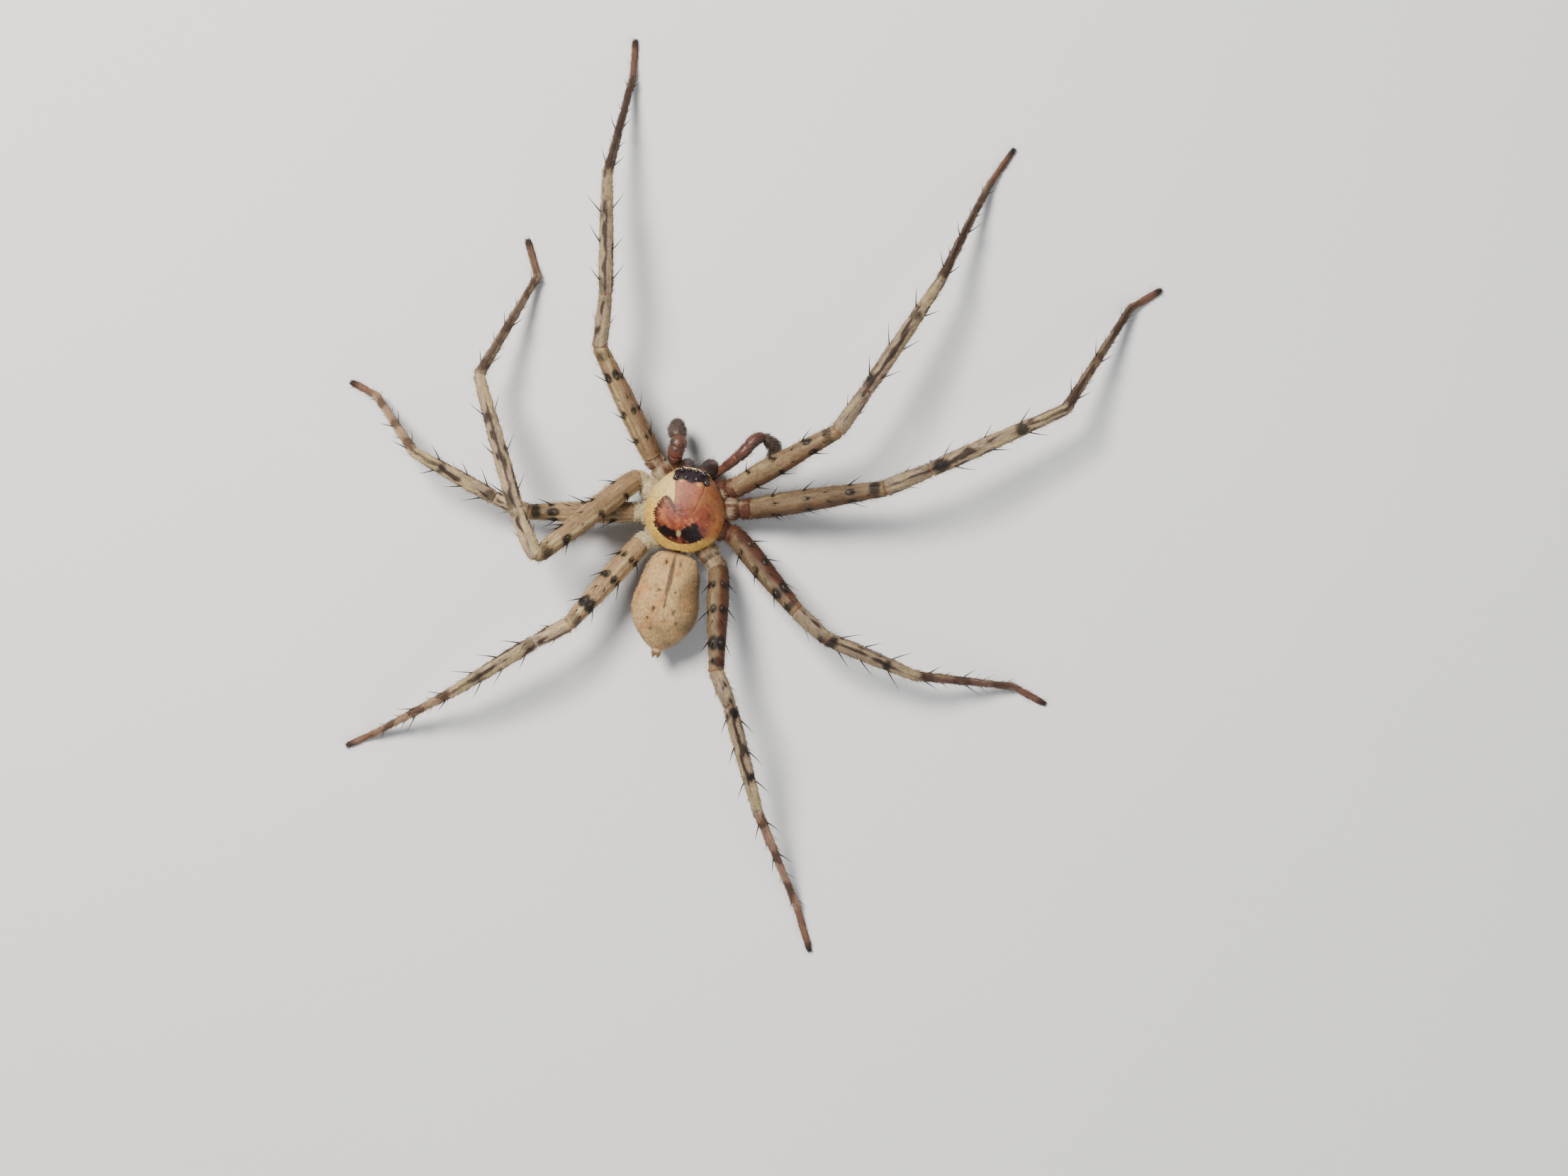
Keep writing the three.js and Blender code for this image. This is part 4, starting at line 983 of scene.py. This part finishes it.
def shell_tints(x, y):
    """Carapace colours from above: red field, dark edge, cream margin and cheeks, eye patch; painted shade on
    its right.
    """
    places = np.stack([x, y], axis=-1)
    mottle = field(places * 1.1, 21)
    fine = field(places * 3.0, 22)
    ax = np.abs(x)
    turn = np.arctan2(ax, FOVEA_Y - y)
    away = np.hypot(x, y - FOVEA_Y)
    veins = field(np.stack([turn * 3.4, away * 0.7, x * 0.25], axis=-1), 27)

    # The cream margin and cheeks, painted red-brown to orange and mottled red on the animal's right as
    # painted shade
    flank = 1 - ramp(x, -0.9, 0.7)
    right = flank * (1 - 0.75 * ramp(y + 0.3 * mottle, 1.9, 3.0)) * (1 - ramp(-y, 3.6, 4.0))
    shaded_cheek = mix(SHADED_CHEEK_RED, SHADED_CHEEK_ORANGE, ramp(y + 0.5 * mottle, -1.2, 1.4))
    cream = mix(mix(MARGIN_YELLOW, CREAM, ramp(-y, -0.6, 0.6)), shaded_cheek, right * 0.9)
    cream = mix(cream, cream * 0.72, ramp(fine, 0.3, 1.6) * 0.5)
    cream = mix(cream, SHELL_RED, ramp(mottle + 0.7 * fine, 0.2, 1.8) * 0.6 * right)

    # The red field and head, mottled along the grooves, with a dark toothed rim
    centre = mix(SHELL_RED, SHELL_PINK, ramp(-y + 0.4 * mottle, -0.3, 1.6) * 0.85)
    centre = mix(centre, SHELL_ORANGE, ramp(-veins + 0.5 * fine, 0.2, 1.6) * 0.75)
    centre = mix(centre, SHELL_DARK, ramp(veins + 0.5 * mottle + 0.4 * fine, 0.4, 2.0) * 0.65)
    teeth = serration(x, y)
    field_edge = smooth_at(FIELD_HALF, y) - teeth - ax
    lobe_edge = y - smooth_at(LOBE_FRONT, ax) - 0.5 * teeth + 0.06
    inside_field = np.minimum(field_edge, lobe_edge)
    inside_head = np.where(y < 0.6, smooth_at(HEAD_SIDE, y) + 0.05 * mottle - ax, -1)
    # On the animal's right the field's edge is painted softer: painted shade
    softness = 0.05 + 0.55 * flank * (1 - ramp(y, 1.6, 2.6))
    red = ramp(np.maximum(inside_field, inside_head), -softness, softness)
    rim = ramp(inside_field, -0.04, 0.04) * (1 - ramp(inside_field + 0.12 * fine, 0.15, 0.85))
    rim = rim * (inside_head < 0)
    # The dark rim fades on the animal's right as painted shade
    centre = mix(centre, SHELL_DARK, rim * (0.95 - 0.85 * flank * (1 - ramp(y, 1.8, 2.8))))
    tint = mix(cream, centre, red)
    stripe = hill(inside_head, 0.02, 0.05) * ramp(y, -3.0, -2.6) * (1 - ramp(y, 0.0, 0.5))
    tint = mix(tint, SHELL_DARK, stripe * 0.75)

    # The two black blotches behind, the green line in the pit, the dark eye patch and its yellow dots
    blotch_x = np.where(x > 0, (ax - 1.15) / 1.15, (ax - 1.05) / 1.12)
    blotch_y = np.where(x > 0, (y - 2.85 + 0.28 * (ax - 0.3)) / 0.5, (y - 2.45) / 1.12)
    blotch = np.hypot(blotch_x, blotch_y) + 0.14 * mottle + 0.1 * fine
    tint = mix(tint, BLOTCH, (1 - ramp(blotch, 0.78, 1.12)) * red)
    tint = mix(tint, FOVEA_GREEN, 1 - ramp(np.hypot(x - 0.12, (y - 2.5) / 1.3), 0.14, 0.28))
    eye_zone = ramp(-y + 0.12 * mottle, 2.62, 2.8) * (1 - ramp(ax + 0.08 * fine, 1.68, 1.86))
    tint = mix(tint, EYE_PATCH, eye_zone)
    tint = mix(tint, MARGIN_YELLOW, hill(np.hypot(ax - 0.9, (y + 2.6) * 1.5), 0, 0.2) * 0.8)
    return mix(tint, CREAM, ramp(-y, 3.96, 4.03) * (1 - ramp(ax, 1.6, 1.8)))


def make_carapace():
    rows = eased(CARAPACE_FRONT, CARAPACE_REAR, CARAPACE_ROWS)
    shares = np.linspace(0, np.pi, CARAPACE_STEPS)
    y = np.repeat(rows[:, None], len(shares), axis=1)
    x = carapace_half(y) * np.cos(shares)[None, :]
    z = carapace_height(x, y) + shell_relief(x, y) * ramp(carapace_half(y) - np.abs(x), 0.1, 0.5)
    arch = FRONT_ARCH * (1 - ramp(rows, CARAPACE_FRONT, CARAPACE_FRONT + 1.4))
    top = np.stack([x, y + arch[:, None] * np.cos(shares) ** 2, z], axis=-1)

    def under(side, share, drop):
        """A line from front to rear under one side: its share of the half width and of the rim's depth."""
        level = np.full_like(rows, CARAPACE_UNDERSIDE + CARAPACE_RIM * (1 - drop))
        return np.stack([side * carapace_half(rows) * share, rows + arch * share, level], axis=-1)[:, None]

    levels = ((1.0, 0.5), (1.0, 1.0), (0.93, 1.0), (0.6, 0.9), (0.2, 0.9))
    right = [under(-1, share, drop) for share, drop in levels]
    left = [under(1, share, drop) for share, drop in reversed(levels)]
    points = np.concatenate([top, *right, *left], axis=1)
    tints = shell_tints(points[..., 0], np.repeat(rows[:, None], points.shape[1], axis=1))
    below = points[..., 2] < CARAPACE_UNDERSIDE + 0.2
    tints = np.where(below[..., None], BELLY_BROWN, tints)
    surface = Surface(points, tints)
    across, along = points[..., 0], points[..., 1]
    surface.flow = unit(np.stack([across * 0.25, np.abs(along) + 0.5, 0 * across], axis=-1))
    dress(surface.piece("carapace_shell"), "shell", ["carapace"])
    upper = ramp(points[..., 2], CARAPACE_UNDERSIDE + 0.1, CARAPACE_UNDERSIDE + 0.25)
    pale = ramp(tints[..., 1], 0.2, 0.5)
    rim = ramp(np.abs(across) - carapace_half(along), -0.5, -0.1)
    head = ramp(-along, 2.4, 3.0) * upper
    coat = Coat()
    coat.grow(surface, 31, (12 + 60 * pale) * upper, length=0.3, lift=12, width=0.03)
    coat.grow(surface, 32, 14 * rim * upper, length=0.45, lift=24, width=0.03)
    coat.grow(surface, 33, 9 * head, length=0.7, lift=55, width=0.03, shade=(0.4, 1.6))
    dress(coat.piece("carapace_hair"), "short_hair")


def make_eyes():
    """Glossy domes, each in a low dark ring."""
    for place, (radius, x, y) in EYES.items():
        for side, word in ((1, "left"), (-1, "right")):
            at = np.array(x * side), np.array(y)
            normal = carapace_normal(*at)
            centre = np.array([*at, carapace_height(*at)]) + normal * radius * EYE_PROUD
            bpy.ops.mesh.primitive_uv_sphere_add(segments=40, ring_count=24, radius=radius * MM)
            eye = bpy.context.object
            eye.name = f"eye_{place}_{word}_lens"
            eye.location = in_frame(centre)
            bpy.ops.object.transform_apply(location=True)
            bpy.ops.object.shade_smooth()
            dress(eye, "eye_lens", [f"eye_{place}_{word}"])
            make_eye_ring(f"eye_ring_{place}_{word}", centre, carapace_normal(centre[0], centre[1]), radius)


def make_eye_ring(name, centre, normal, radius):
    first = unit(np.cross(normal, AHEAD))
    second = np.cross(normal, first)
    turn = np.linspace(0, 2 * np.pi, EYE_RING_STEPS + 1)[:-1]
    circle = first * np.cos(turn)[:, None] + second * np.sin(turn)[:, None]
    lie = np.linspace(0, 2 * np.pi, EYE_RING_SIDES + 1)[:-1][None, :, None]
    middle = centre + circle * radius * 1.02 - normal * radius * 0.18
    rings = middle[:, None] + (circle[:, None] * np.cos(lie) + normal * np.sin(lie) * 1.5) * EYE_RING
    points = rings.reshape(-1, 3)
    quads = ring_faces(EYE_RING_STEPS + 1, EYE_RING_SIDES) % len(points)
    dress(make_mesh(name, points, [quads], np.broadcast_to(EYE_PATCH * 0.7, points.shape)), "shell")


# Abdomen, waist and spinnerets in one skin

def abdomen_tints(points, angle):
    """Tan and olive above, with a dark line down the middle, pairs of dots, and a brown belly; darker on the
    animal's right and low on the sides as painted shade.
    """
    x, y = points[..., 0], points[..., 1]
    ax = np.abs(x)
    mottle = field(points * 0.55, 41)
    fine = field(points * 1.6, 42)
    speck = field(points * 3.4, 43)
    orange = field(np.stack([x, y], axis=-1) * 0.7, 44)
    top = 0.5 + 0.5 * np.cos(angle)[None, :] * np.ones_like(x)
    above = top > 0.5
    # The olive mottling is the skin's own; its lean towards the animal's right is painted shade
    tint = mix(ABDOMEN_TAN, ABDOMEN_OLIVE, ramp(mottle - 0.35 * x / 3 + 0.05 * (y - 9), 0.0, 1.5) * 0.75)
    tint = mix(tint, ABDOMEN_ORANGE, ramp(orange, 0.2, 1.4) * 0.65)
    tint = mix(tint, ABDOMEN_OLIVE * 0.7, ramp(fine + 0.5 * speck, 0.5, 2.0) * 0.6)
    # Darker olive on the animal's right: painted shade
    tint = mix(tint, ABDOMEN_OLIVE * 0.85, ramp(-x + 0.5 * mottle, 0.8, 2.8) * 0.6)
    mark = 1 - ramp(ax / smooth_at(HEART_HALF, y) + 0.3 * fine, 0.7, 1.5)
    tint = mix(tint, HEART_MARK, mark * (1 - ramp(y, 9.8, 10.1)) * above * 0.85)
    tint = mix(tint, ABDOMEN_DOT, hill(np.hypot(ax * 1.6, (y - 9.75) * 0.6), 0, 0.14) * above * 0.8)
    for dot_x, dot_y, size, long in ABDOMEN_DOTS:
        away = np.hypot((ax - dot_x) / size, (y - dot_y) / (size * long))
        tint = mix(tint, ABDOMEN_DOT, np.where(x > 0, 0.95, 0.75) * (1 - ramp(away, 0.6, 1.3)) * above)
    chevron = hill((y + ax * 0.55) % 0.75, 0.37, 0.13) * ramp(y, 11.0, 12.0) * (1 - ramp(ax, 0.9, 1.7))
    tint = mix(tint, ABDOMEN_OLIVE * 0.75, chevron * 0.3 * above)
    tint = mix(tint, BELLY_BROWN, 1 - ramp(top, 0.1, 0.4))
    # Darker low on the sides: painted shade
    tint = mix(tint, tint * 0.8, (1 - ramp(top, 0.3, 0.7)) * 0.5)
    return mix(tint, WAIST_BROWN, 1 - ramp(y, 4.3, 4.75))


def make_abdomen():
    """The waist, the abdomen and the base of the spinnerets, skinned as one body."""
    waist = np.linspace(WAIST_START, ABDOMEN_FRONT, WAIST_ROWS)[:-1]
    tail = np.linspace(ABDOMEN_REAR, TAIL_END, TAIL_ROWS)[1:]
    y = np.concatenate([waist, eased(ABDOMEN_FRONT, ABDOMEN_REAR, ABDOMEN_ROWS), tail])
    centres = np.stack([0 * y, y, smooth_at(ABDOMEN_MIDDLES, y)], axis=-1)
    widths = 2 * smooth_at(ABDOMEN_HALF_WIDTHS, y)
    heights = 2 * smooth_at(ABDOMEN_HALF_HEIGHTS, y)
    points, angle = tube(centres * [1, 1, 0], widths, heights, ABDOMEN_SIDES)
    points[..., 2] += centres[:, None, 2]
    smooth_skin = (ramp(y, 4.8, 6.0) * (1 - ramp(y, 13.4, 14.1)))[:, None]
    relief = 0.02 * field(points * np.array([1.0, 1.0, 0.8]) * 0.9, 45) + 0.01 * field(points * 3.0, 46)
    for pit_x, pit_y, size in ABDOMEN_PITS:
        pit = hill(np.hypot(np.abs(points[..., 0]) - pit_x, points[..., 1] - pit_y), 0, size)
        relief = relief - 0.07 * pit * (points[..., 2] > 4)
    points = points + unit(points - centres[:, None]) * (relief * smooth_skin)[..., None]
    surface = Surface(points, abdomen_tints(points, angle))
    dress(surface.piece("abdomen_skin", SKIN_TONE), "abdomen_skin", ["abdomen", "pedicel"])
    on = ramp(points[..., 1], 4.3, 4.5)
    coat = Coat()
    coat.grow(surface, 51, 112 * on, length=0.33, lift=13, width=0.029, shade=(0.85, 1.6))
    coat.grow(surface, 52, 7 * on, length=0.6, lift=30, width=0.024, shade=(0.5, 1.3))
    dress(coat.piece("abdomen_hair"), "short_hair")


def make_spinnerets():
    middle = smooth_at(ABDOMEN_MIDDLES, ABDOMEN_REAR)
    t = np.linspace(0, 1, SPINNERET_ROWS)
    coat = Coat()
    for number, (side, level) in enumerate(((1, 1), (-1, 1), (1, -1), (-1, -1))):
        aside = side * SPINNERET_SPREAD * 0.85
        root = np.array([aside, ABDOMEN_REAR + 0.2, middle + level * SPINNERET_SPREAD * 0.8])
        way = unit(np.array([side * 0.12, 1.0, level * 0.1 - 0.12]))
        length = SPINNERET_LENGTH * (1.0 if level > 0 else 0.85)
        widths = 2 * SPINNERET_RADIUS * smooth_at(SPINNERET_WIDTHS, t)
        centres, widths = round_off(root + way * (t * length)[:, None], widths)
        surface = Surface(tube(centres, widths, widths, SPINNERET_SIDES)[0], BELLY_BROWN * 0.8)
        word = ("upper" if level > 0 else "lower") + ("_left" if side > 0 else "_right")
        nodes = ["spinnerets"] if number == 0 else ()
        dress(surface.piece(f"spinneret_{word}"), "abdomen_skin", nodes)
        coat.grow(surface, 60 + number, 70, length=0.3, lift=26, width=0.03)
    dress(coat.piece("spinneret_hair"), "short_hair")


# Breastplate, flank and mouth

def plate_outline(count=120):
    """The outline of the breastplate, its corners softened, as points going round."""
    half = [*STERNUM_FRONT, *STERNUM_CORNERS, STERNUM_REAR]
    outline = np.array(half + [(-x, y) for x, y in reversed(half[1:-1])] + half[:1], float)
    lengths = lengths_along(outline)
    at = np.linspace(0, lengths[-1], count, endpoint=False)
    line = np.stack([np.interp(at, lengths, outline[:, axis]) for axis in (0, 1)], axis=-1)
    for _ in range(3):
        line = (np.roll(line, 1, axis=0) + 2 * line + np.roll(line, -1, axis=0)) / 4
    return line


def stacked(levels):
    """Rings of the plate's outline at given heights and scales."""
    line = plate_outline()
    return np.array([np.column_stack([line * scale, np.full(len(line), height)]) for height, scale in levels])


def make_breastplate():
    surface = Surface(stacked(STERNUM_LEVELS), mix(BELLY_BROWN, PALE_STRIPE, np.array(0.35)))
    dress(surface.piece("breastplate_skin"), "leg_skin", ["sternum"])
    flank = Surface(stacked(FLANK_LEVELS), COXA_RED * 0.8)
    dress(flank.piece("flank_skin"), "leg_skin")
    coat = Coat()
    under = ramp(-surface.normals[..., 2], 0.2, 0.8)
    coat.grow(surface, 71, 30 * under, length=0.4, lift=30, width=0.03, shade=(0.6, 1.4))
    dress(coat.piece("breastplate_hair"), "short_hair")


def make_jaw(word):
    """One jaw, hairy in front, and the curved fang folded behind it."""
    sideways, forward = JAW_PLACES[word]
    side = int(np.sign(sideways))
    t = np.linspace(0, JAW_PROFILE[-1][0], JAW_ROWS)
    share = smooth_at([(at, value) for at, value, _ in JAW_PROFILE], t)
    bulge = smooth_at([(at, value) for at, _, value in JAW_PROFILE], t)
    height = JAW_TOP + (JAW_BOTTOM - JAW_TOP) * t
    spread = side * JAW_ROOT + (sideways - side * JAW_ROOT) * ramp(t, 0, 0.3)
    centres = np.stack([spread, JAW_FORWARD - forward * bulge, height], axis=-1)
    centres, widths = round_off(centres, 2 * JAW_HALF_WIDTH * share)
    points, _ = tube(centres, widths * 0.98, widths, JAW_SIDES, AHEAD)
    mottle = field(points * 1.4, 81 + side)
    surface = Surface(points, mix(JAW_BROWN, PALP_BROWN, ramp(mottle, -0.2, 1.6) * 0.6))
    dress(surface.piece(f"jaw_skin_{word}"), "jaw_skin", [f"chelicera_{word}"])
    front = ramp(-surface.normals[..., 1], -0.3, 0.6)
    coat = Coat()
    coat.grow(surface, 83 + side, 26 + 34 * front, length=0.4, lift=24, width=0.03, shade=(0.7, 1.9))
    coat.grow(surface, 86 + side, 5 + 5 * front, length=0.85, lift=50, width=0.026, shade=(0.5, 1.7))
    dress(coat.piece(f"jaw_hair_{word}"), "short_hair")
    root = np.array([sideways, JAW_FORWARD - forward * 0.3, JAW_BOTTOM + 0.25])
    aim = unit(np.array([-side * 0.25, 0.45, -0.5]))
    bend = np.array([-side * 0.6, 1.4, 0.35])
    fang = spike(root, aim, FANG_LENGTH, FANG_RADIUS, bend, sides=14, rings=16)
    dress(join_spikes(f"fang_{word}", [fang], [SHELL_DARK * 0.5]), "spine_horn")


# Palps

def palp_line(side, count):
    """Places along a palp, with shares of arm or club, whether club, and how far along; then its joint."""
    path = np.array(PALP_PATHS[side], float)
    lengths = lengths_along(path)
    at = np.linspace(0, lengths[-1], count)
    places = np.stack([smooth_at(list(zip(lengths, path[:, axis])), at) for axis in range(3)], axis=-1)
    joint = lengths[PALP_JOINT]
    club = at > joint
    share = np.where(club, (at - joint) / (lengths[-1] - joint), at / joint)
    return places, share, club, at, joint


def make_palp(side):
    places, share, club, at, joint = palp_line(side, PALP_ROWS)
    arm_widths = smooth_at(PALP_ARM_WIDTHS[side], share)
    widths = np.where(club, smooth_at(PALP_CLUB_WIDTHS[side], share), arm_widths)
    for bend in PALP_BENDS:
        widths = widths * (1 - 0.12 * hill(at, joint * bend, 0.09))
    widths = widths * (1 - 0.14 * hill(at, joint, 0.1))
    centres, widths = round_off(places, widths, 10)
    added = len(widths) - len(club)
    club = np.concatenate([club, np.ones(added, bool)])
    share = np.concatenate([share, np.ones(added)])
    points, angle = tube(centres, widths, widths * np.where(club, 0.86, 1.0), PALP_SIDES)
    mottle = field(points * 1.3, 91 + len(side))
    tints = mix(PALP_BROWN, PALP_BROWN * 0.55, ramp(mottle, -0.4, 1.4))
    outer_side = np.sin(angle)[None, :] * np.sign(places[0, 0]) + 0.4 * mottle
    grey = np.where(club, 1.0, 0.25 * ramp(share, 0.5, 0.9))[:, None] + 0.7 * ramp(outer_side, -0.1, 0.8)
    surface = Surface(points, mix(tints, mix(CLUB_GREY, CLUB_GREY * 0.6, ramp(mottle, -0.3, 1.3)), grey))
    dress(surface.piece(f"palp_skin_{side}"), "jaw_skin", [f"palp_{side}", f"palp_club_{side}"])
    coat = Coat()
    on_club = club[:, None] * 1.0
    coat.grow(surface, 95 + len(side), 50 + 50 * on_club, 0.44 + 0.1 * on_club, 22 + 8 * on_club, width=0.036,
              shade=(0.7, 2.5))
    coat.grow(surface, 99 + len(side), 6 + 3 * on_club, length=0.8, lift=45, width=0.03, shade=(0.5, 1.8))
    dress(coat.piece(f"palp_hair_{side}"), "short_hair")


# Materials

# Roughness, size of the grain in millimetres, strength of the bump, and what differs from the plain skin
TINTED_MATERIALS = {
    "leg_skin": (0.66, 0.12, 0.5, {"specular": 0.3}),
    "short_hair": (0.48, 0.3, 0.0, {"specular": 0.4, "speckle": 0.08}),
    "shell": (0.36, 0.12, 0.75, {"specular": 0.28, "speckle": 0.26}),
    "abdomen_skin": (0.72, 0.16, 0.5, {"specular": 0.3, "sheen": 0.08}),
    "jaw_skin": (0.42, 0.1, 0.3, {}),
    "spine_horn": (0.28, 0.2, 0.05, {"coat": 0.3, "speckle": 0.1}),
}


def new_material(name):
    material = bpy.data.materials.new(name)
    material.use_nodes = True
    MATERIALS[name] = material
    return material.node_tree, material.node_tree.nodes["Principled BSDF"]


def add_node(tree, kind, **inputs):
    node = tree.nodes.new(kind)
    for name, value in inputs.items():
        node.inputs[name.replace("_", " ")].default_value = value
    return node


def ranged(tree, value, **limits):
    """A value moved from one range to another."""
    node = add_node(tree, "ShaderNodeMapRange", **limits)
    tree.links.new(value, node.inputs["Value"])
    return node.outputs["Result"]


def tinted_material(name, roughness, grain_size, bump, specular=0.5, speckle=0.18, sheen=0.0, coat=0.0):
    """The mesh's tint with fine speckles over it and a fine bump; the size of its grain is in millimetres."""
    tree, shader = new_material(name)
    tint = tree.nodes.new("ShaderNodeAttribute")
    tint.attribute_name = TINT
    place = tree.nodes.new("ShaderNodeTexCoord")
    noise = add_node(tree, "ShaderNodeTexNoise", Scale=1 / (grain_size * MM), Detail=4.0, Roughness=0.6)
    tree.links.new(place.outputs["Object"], noise.inputs["Vector"])
    grain = noise.outputs["Fac"]
    toned = tree.nodes.new("ShaderNodeVectorMath")
    toned.operation = "SCALE"
    tree.links.new(tint.outputs["Color"], toned.inputs[0])
    brightness = ranged(tree, grain, From_Min=0.3, From_Max=0.7, To_Min=1 - speckle, To_Max=1 + speckle)
    tree.links.new(brightness, toned.inputs["Scale"])
    tree.links.new(toned.outputs["Vector"], shader.inputs["Base Color"])
    gloss = ranged(tree, grain, To_Min=roughness - 0.08, To_Max=roughness + 0.1)
    tree.links.new(gloss, shader.inputs["Roughness"])
    if bump:
        raised = add_node(tree, "ShaderNodeBump", Strength=bump, Distance=grain_size * MM * 0.5)
        tree.links.new(grain, raised.inputs["Height"])
        tree.links.new(raised.outputs["Normal"], shader.inputs["Normal"])
    shader.inputs["Specular IOR Level"].default_value = specular
    shader.inputs["Sheen Weight"].default_value = sheen
    shader.inputs["Coat Weight"].default_value = coat
    shader.inputs["Coat Roughness"].default_value = 0.25


def eye_lens_material():
    """Near-black, very smooth, with a faint amber depth."""
    tree, shader = new_material("eye_lens")
    facing = add_node(tree, "ShaderNodeLayerWeight", Blend=0.35)
    depth = tree.nodes.new("ShaderNodeMix")
    depth.data_type = "RGBA"
    depth.inputs["A"].default_value = (0.022, 0.012, 0.01, 1)
    depth.inputs["B"].default_value = (0.004, 0.003, 0.004, 1)
    tree.links.new(facing.outputs["Facing"], depth.inputs["Factor"])
    tree.links.new(depth.outputs["Result"], shader.inputs["Base Color"])
    shader.inputs["Roughness"].default_value = 0.04
    shader.inputs["Coat Weight"].default_value = 1.0
    shader.inputs["Coat Roughness"].default_value = 0.02


def floor_material():
    tree, shader = new_material("pale_floor")
    grain = add_node(tree, "ShaderNodeTexNoise", Scale=60.0, Detail=3.0)
    tone = ranged(tree, grain.outputs["Fac"], To_Min=0.66, To_Max=0.7)
    tree.links.new(tone, shader.inputs["Base Color"])
    shader.inputs["Roughness"].default_value = 0.85


# Camera, floor and light

FLOOR_HALF = 1.5
LIGHT_AIM = (0, 2, 3)

# A soft key from the photo's upper left and a weak broad fill opposite: place, size, power and colour
LIGHTS = {
    "key": ((200, -140, 360), 150, 4.4, (1.0, 0.96, 0.9)),
    "fill": ((-320, 240, 300), 400, 1.3, (0.95, 0.97, 1.0)),
}
SKY_COLOUR = (0.9, 0.93, 1.0, 1)
SKY_STRENGTH = 0.22


def add_object(name, data):
    added = bpy.data.objects.new(name, data)
    bpy.context.scene.collection.objects.link(added)
    return added


def add_camera():
    data = bpy.data.cameras.new("camera")
    data.sensor_width = SENSOR_WIDTH
    data.lens = CAMERA_LENS
    data.clip_start = 0.001
    camera = add_object("camera", data)
    turn = np.radians(CAMERA_TURN)
    right = Vector((-np.cos(turn), -np.sin(turn), 0))
    up = Vector((np.sin(turn), -np.cos(turn), 0))
    place = in_frame([*CAMERA_POINT, CAMERA_HEIGHT])
    camera.matrix_world = Matrix((
        (right.x, up.x, 0, place[0]),
        (right.y, up.y, 0, place[1]),
        (0, 0, 1, place[2]),
        (0, 0, 0, 1),
    ))
    bpy.context.scene.camera = camera


def add_floor():
    mesh = bpy.data.meshes.new("floor")
    corners = [(x * FLOOR_HALF, y * FLOOR_HALF, 0) for x, y in ((-1, -1), (1, -1), (1, 1), (-1, 1))]
    mesh.from_pydata(corners, [], [(0, 1, 2, 3)])
    mesh.materials.append(MATERIALS["pale_floor"])
    add_object("floor", mesh)


def add_lights():
    """Soft square lamps that point at the middle of the animal, and a weak even sky."""
    for name, (place, size, power, colour) in LIGHTS.items():
        data = bpy.data.lights.new(name, "AREA")
        data.size = size * MM
        data.energy = power
        data.color = colour
        lamp = add_object(name, data)
        lamp.location = Vector(in_frame(place))
        aim = Vector(in_frame(LIGHT_AIM)) - lamp.location
        lamp.rotation_euler = aim.to_track_quat("-Z", "Y").to_euler()
    world = bpy.data.worlds.new("soft_room")
    world.use_nodes = True
    sky = world.node_tree.nodes["Background"]
    sky.inputs["Color"].default_value = SKY_COLOUR
    sky.inputs["Strength"].default_value = SKY_STRENGTH
    bpy.context.scene.world = world


def build():
    add_camera()
    for name, (roughness, grain_size, bump, others) in TINTED_MATERIALS.items():
        tinted_material(name, roughness, grain_size, bump, **others)
    eye_lens_material()
    floor_material()
    for leg in LEGS:
        make_leg(leg)
    make_carapace()
    make_eyes()
    make_abdomen()
    make_spinnerets()
    make_breastplate()
    for side in JAW_PLACES:
        make_jaw(side)
    for side in PALP_PATHS:
        make_palp(side)
    add_floor()
    add_lights()


build()
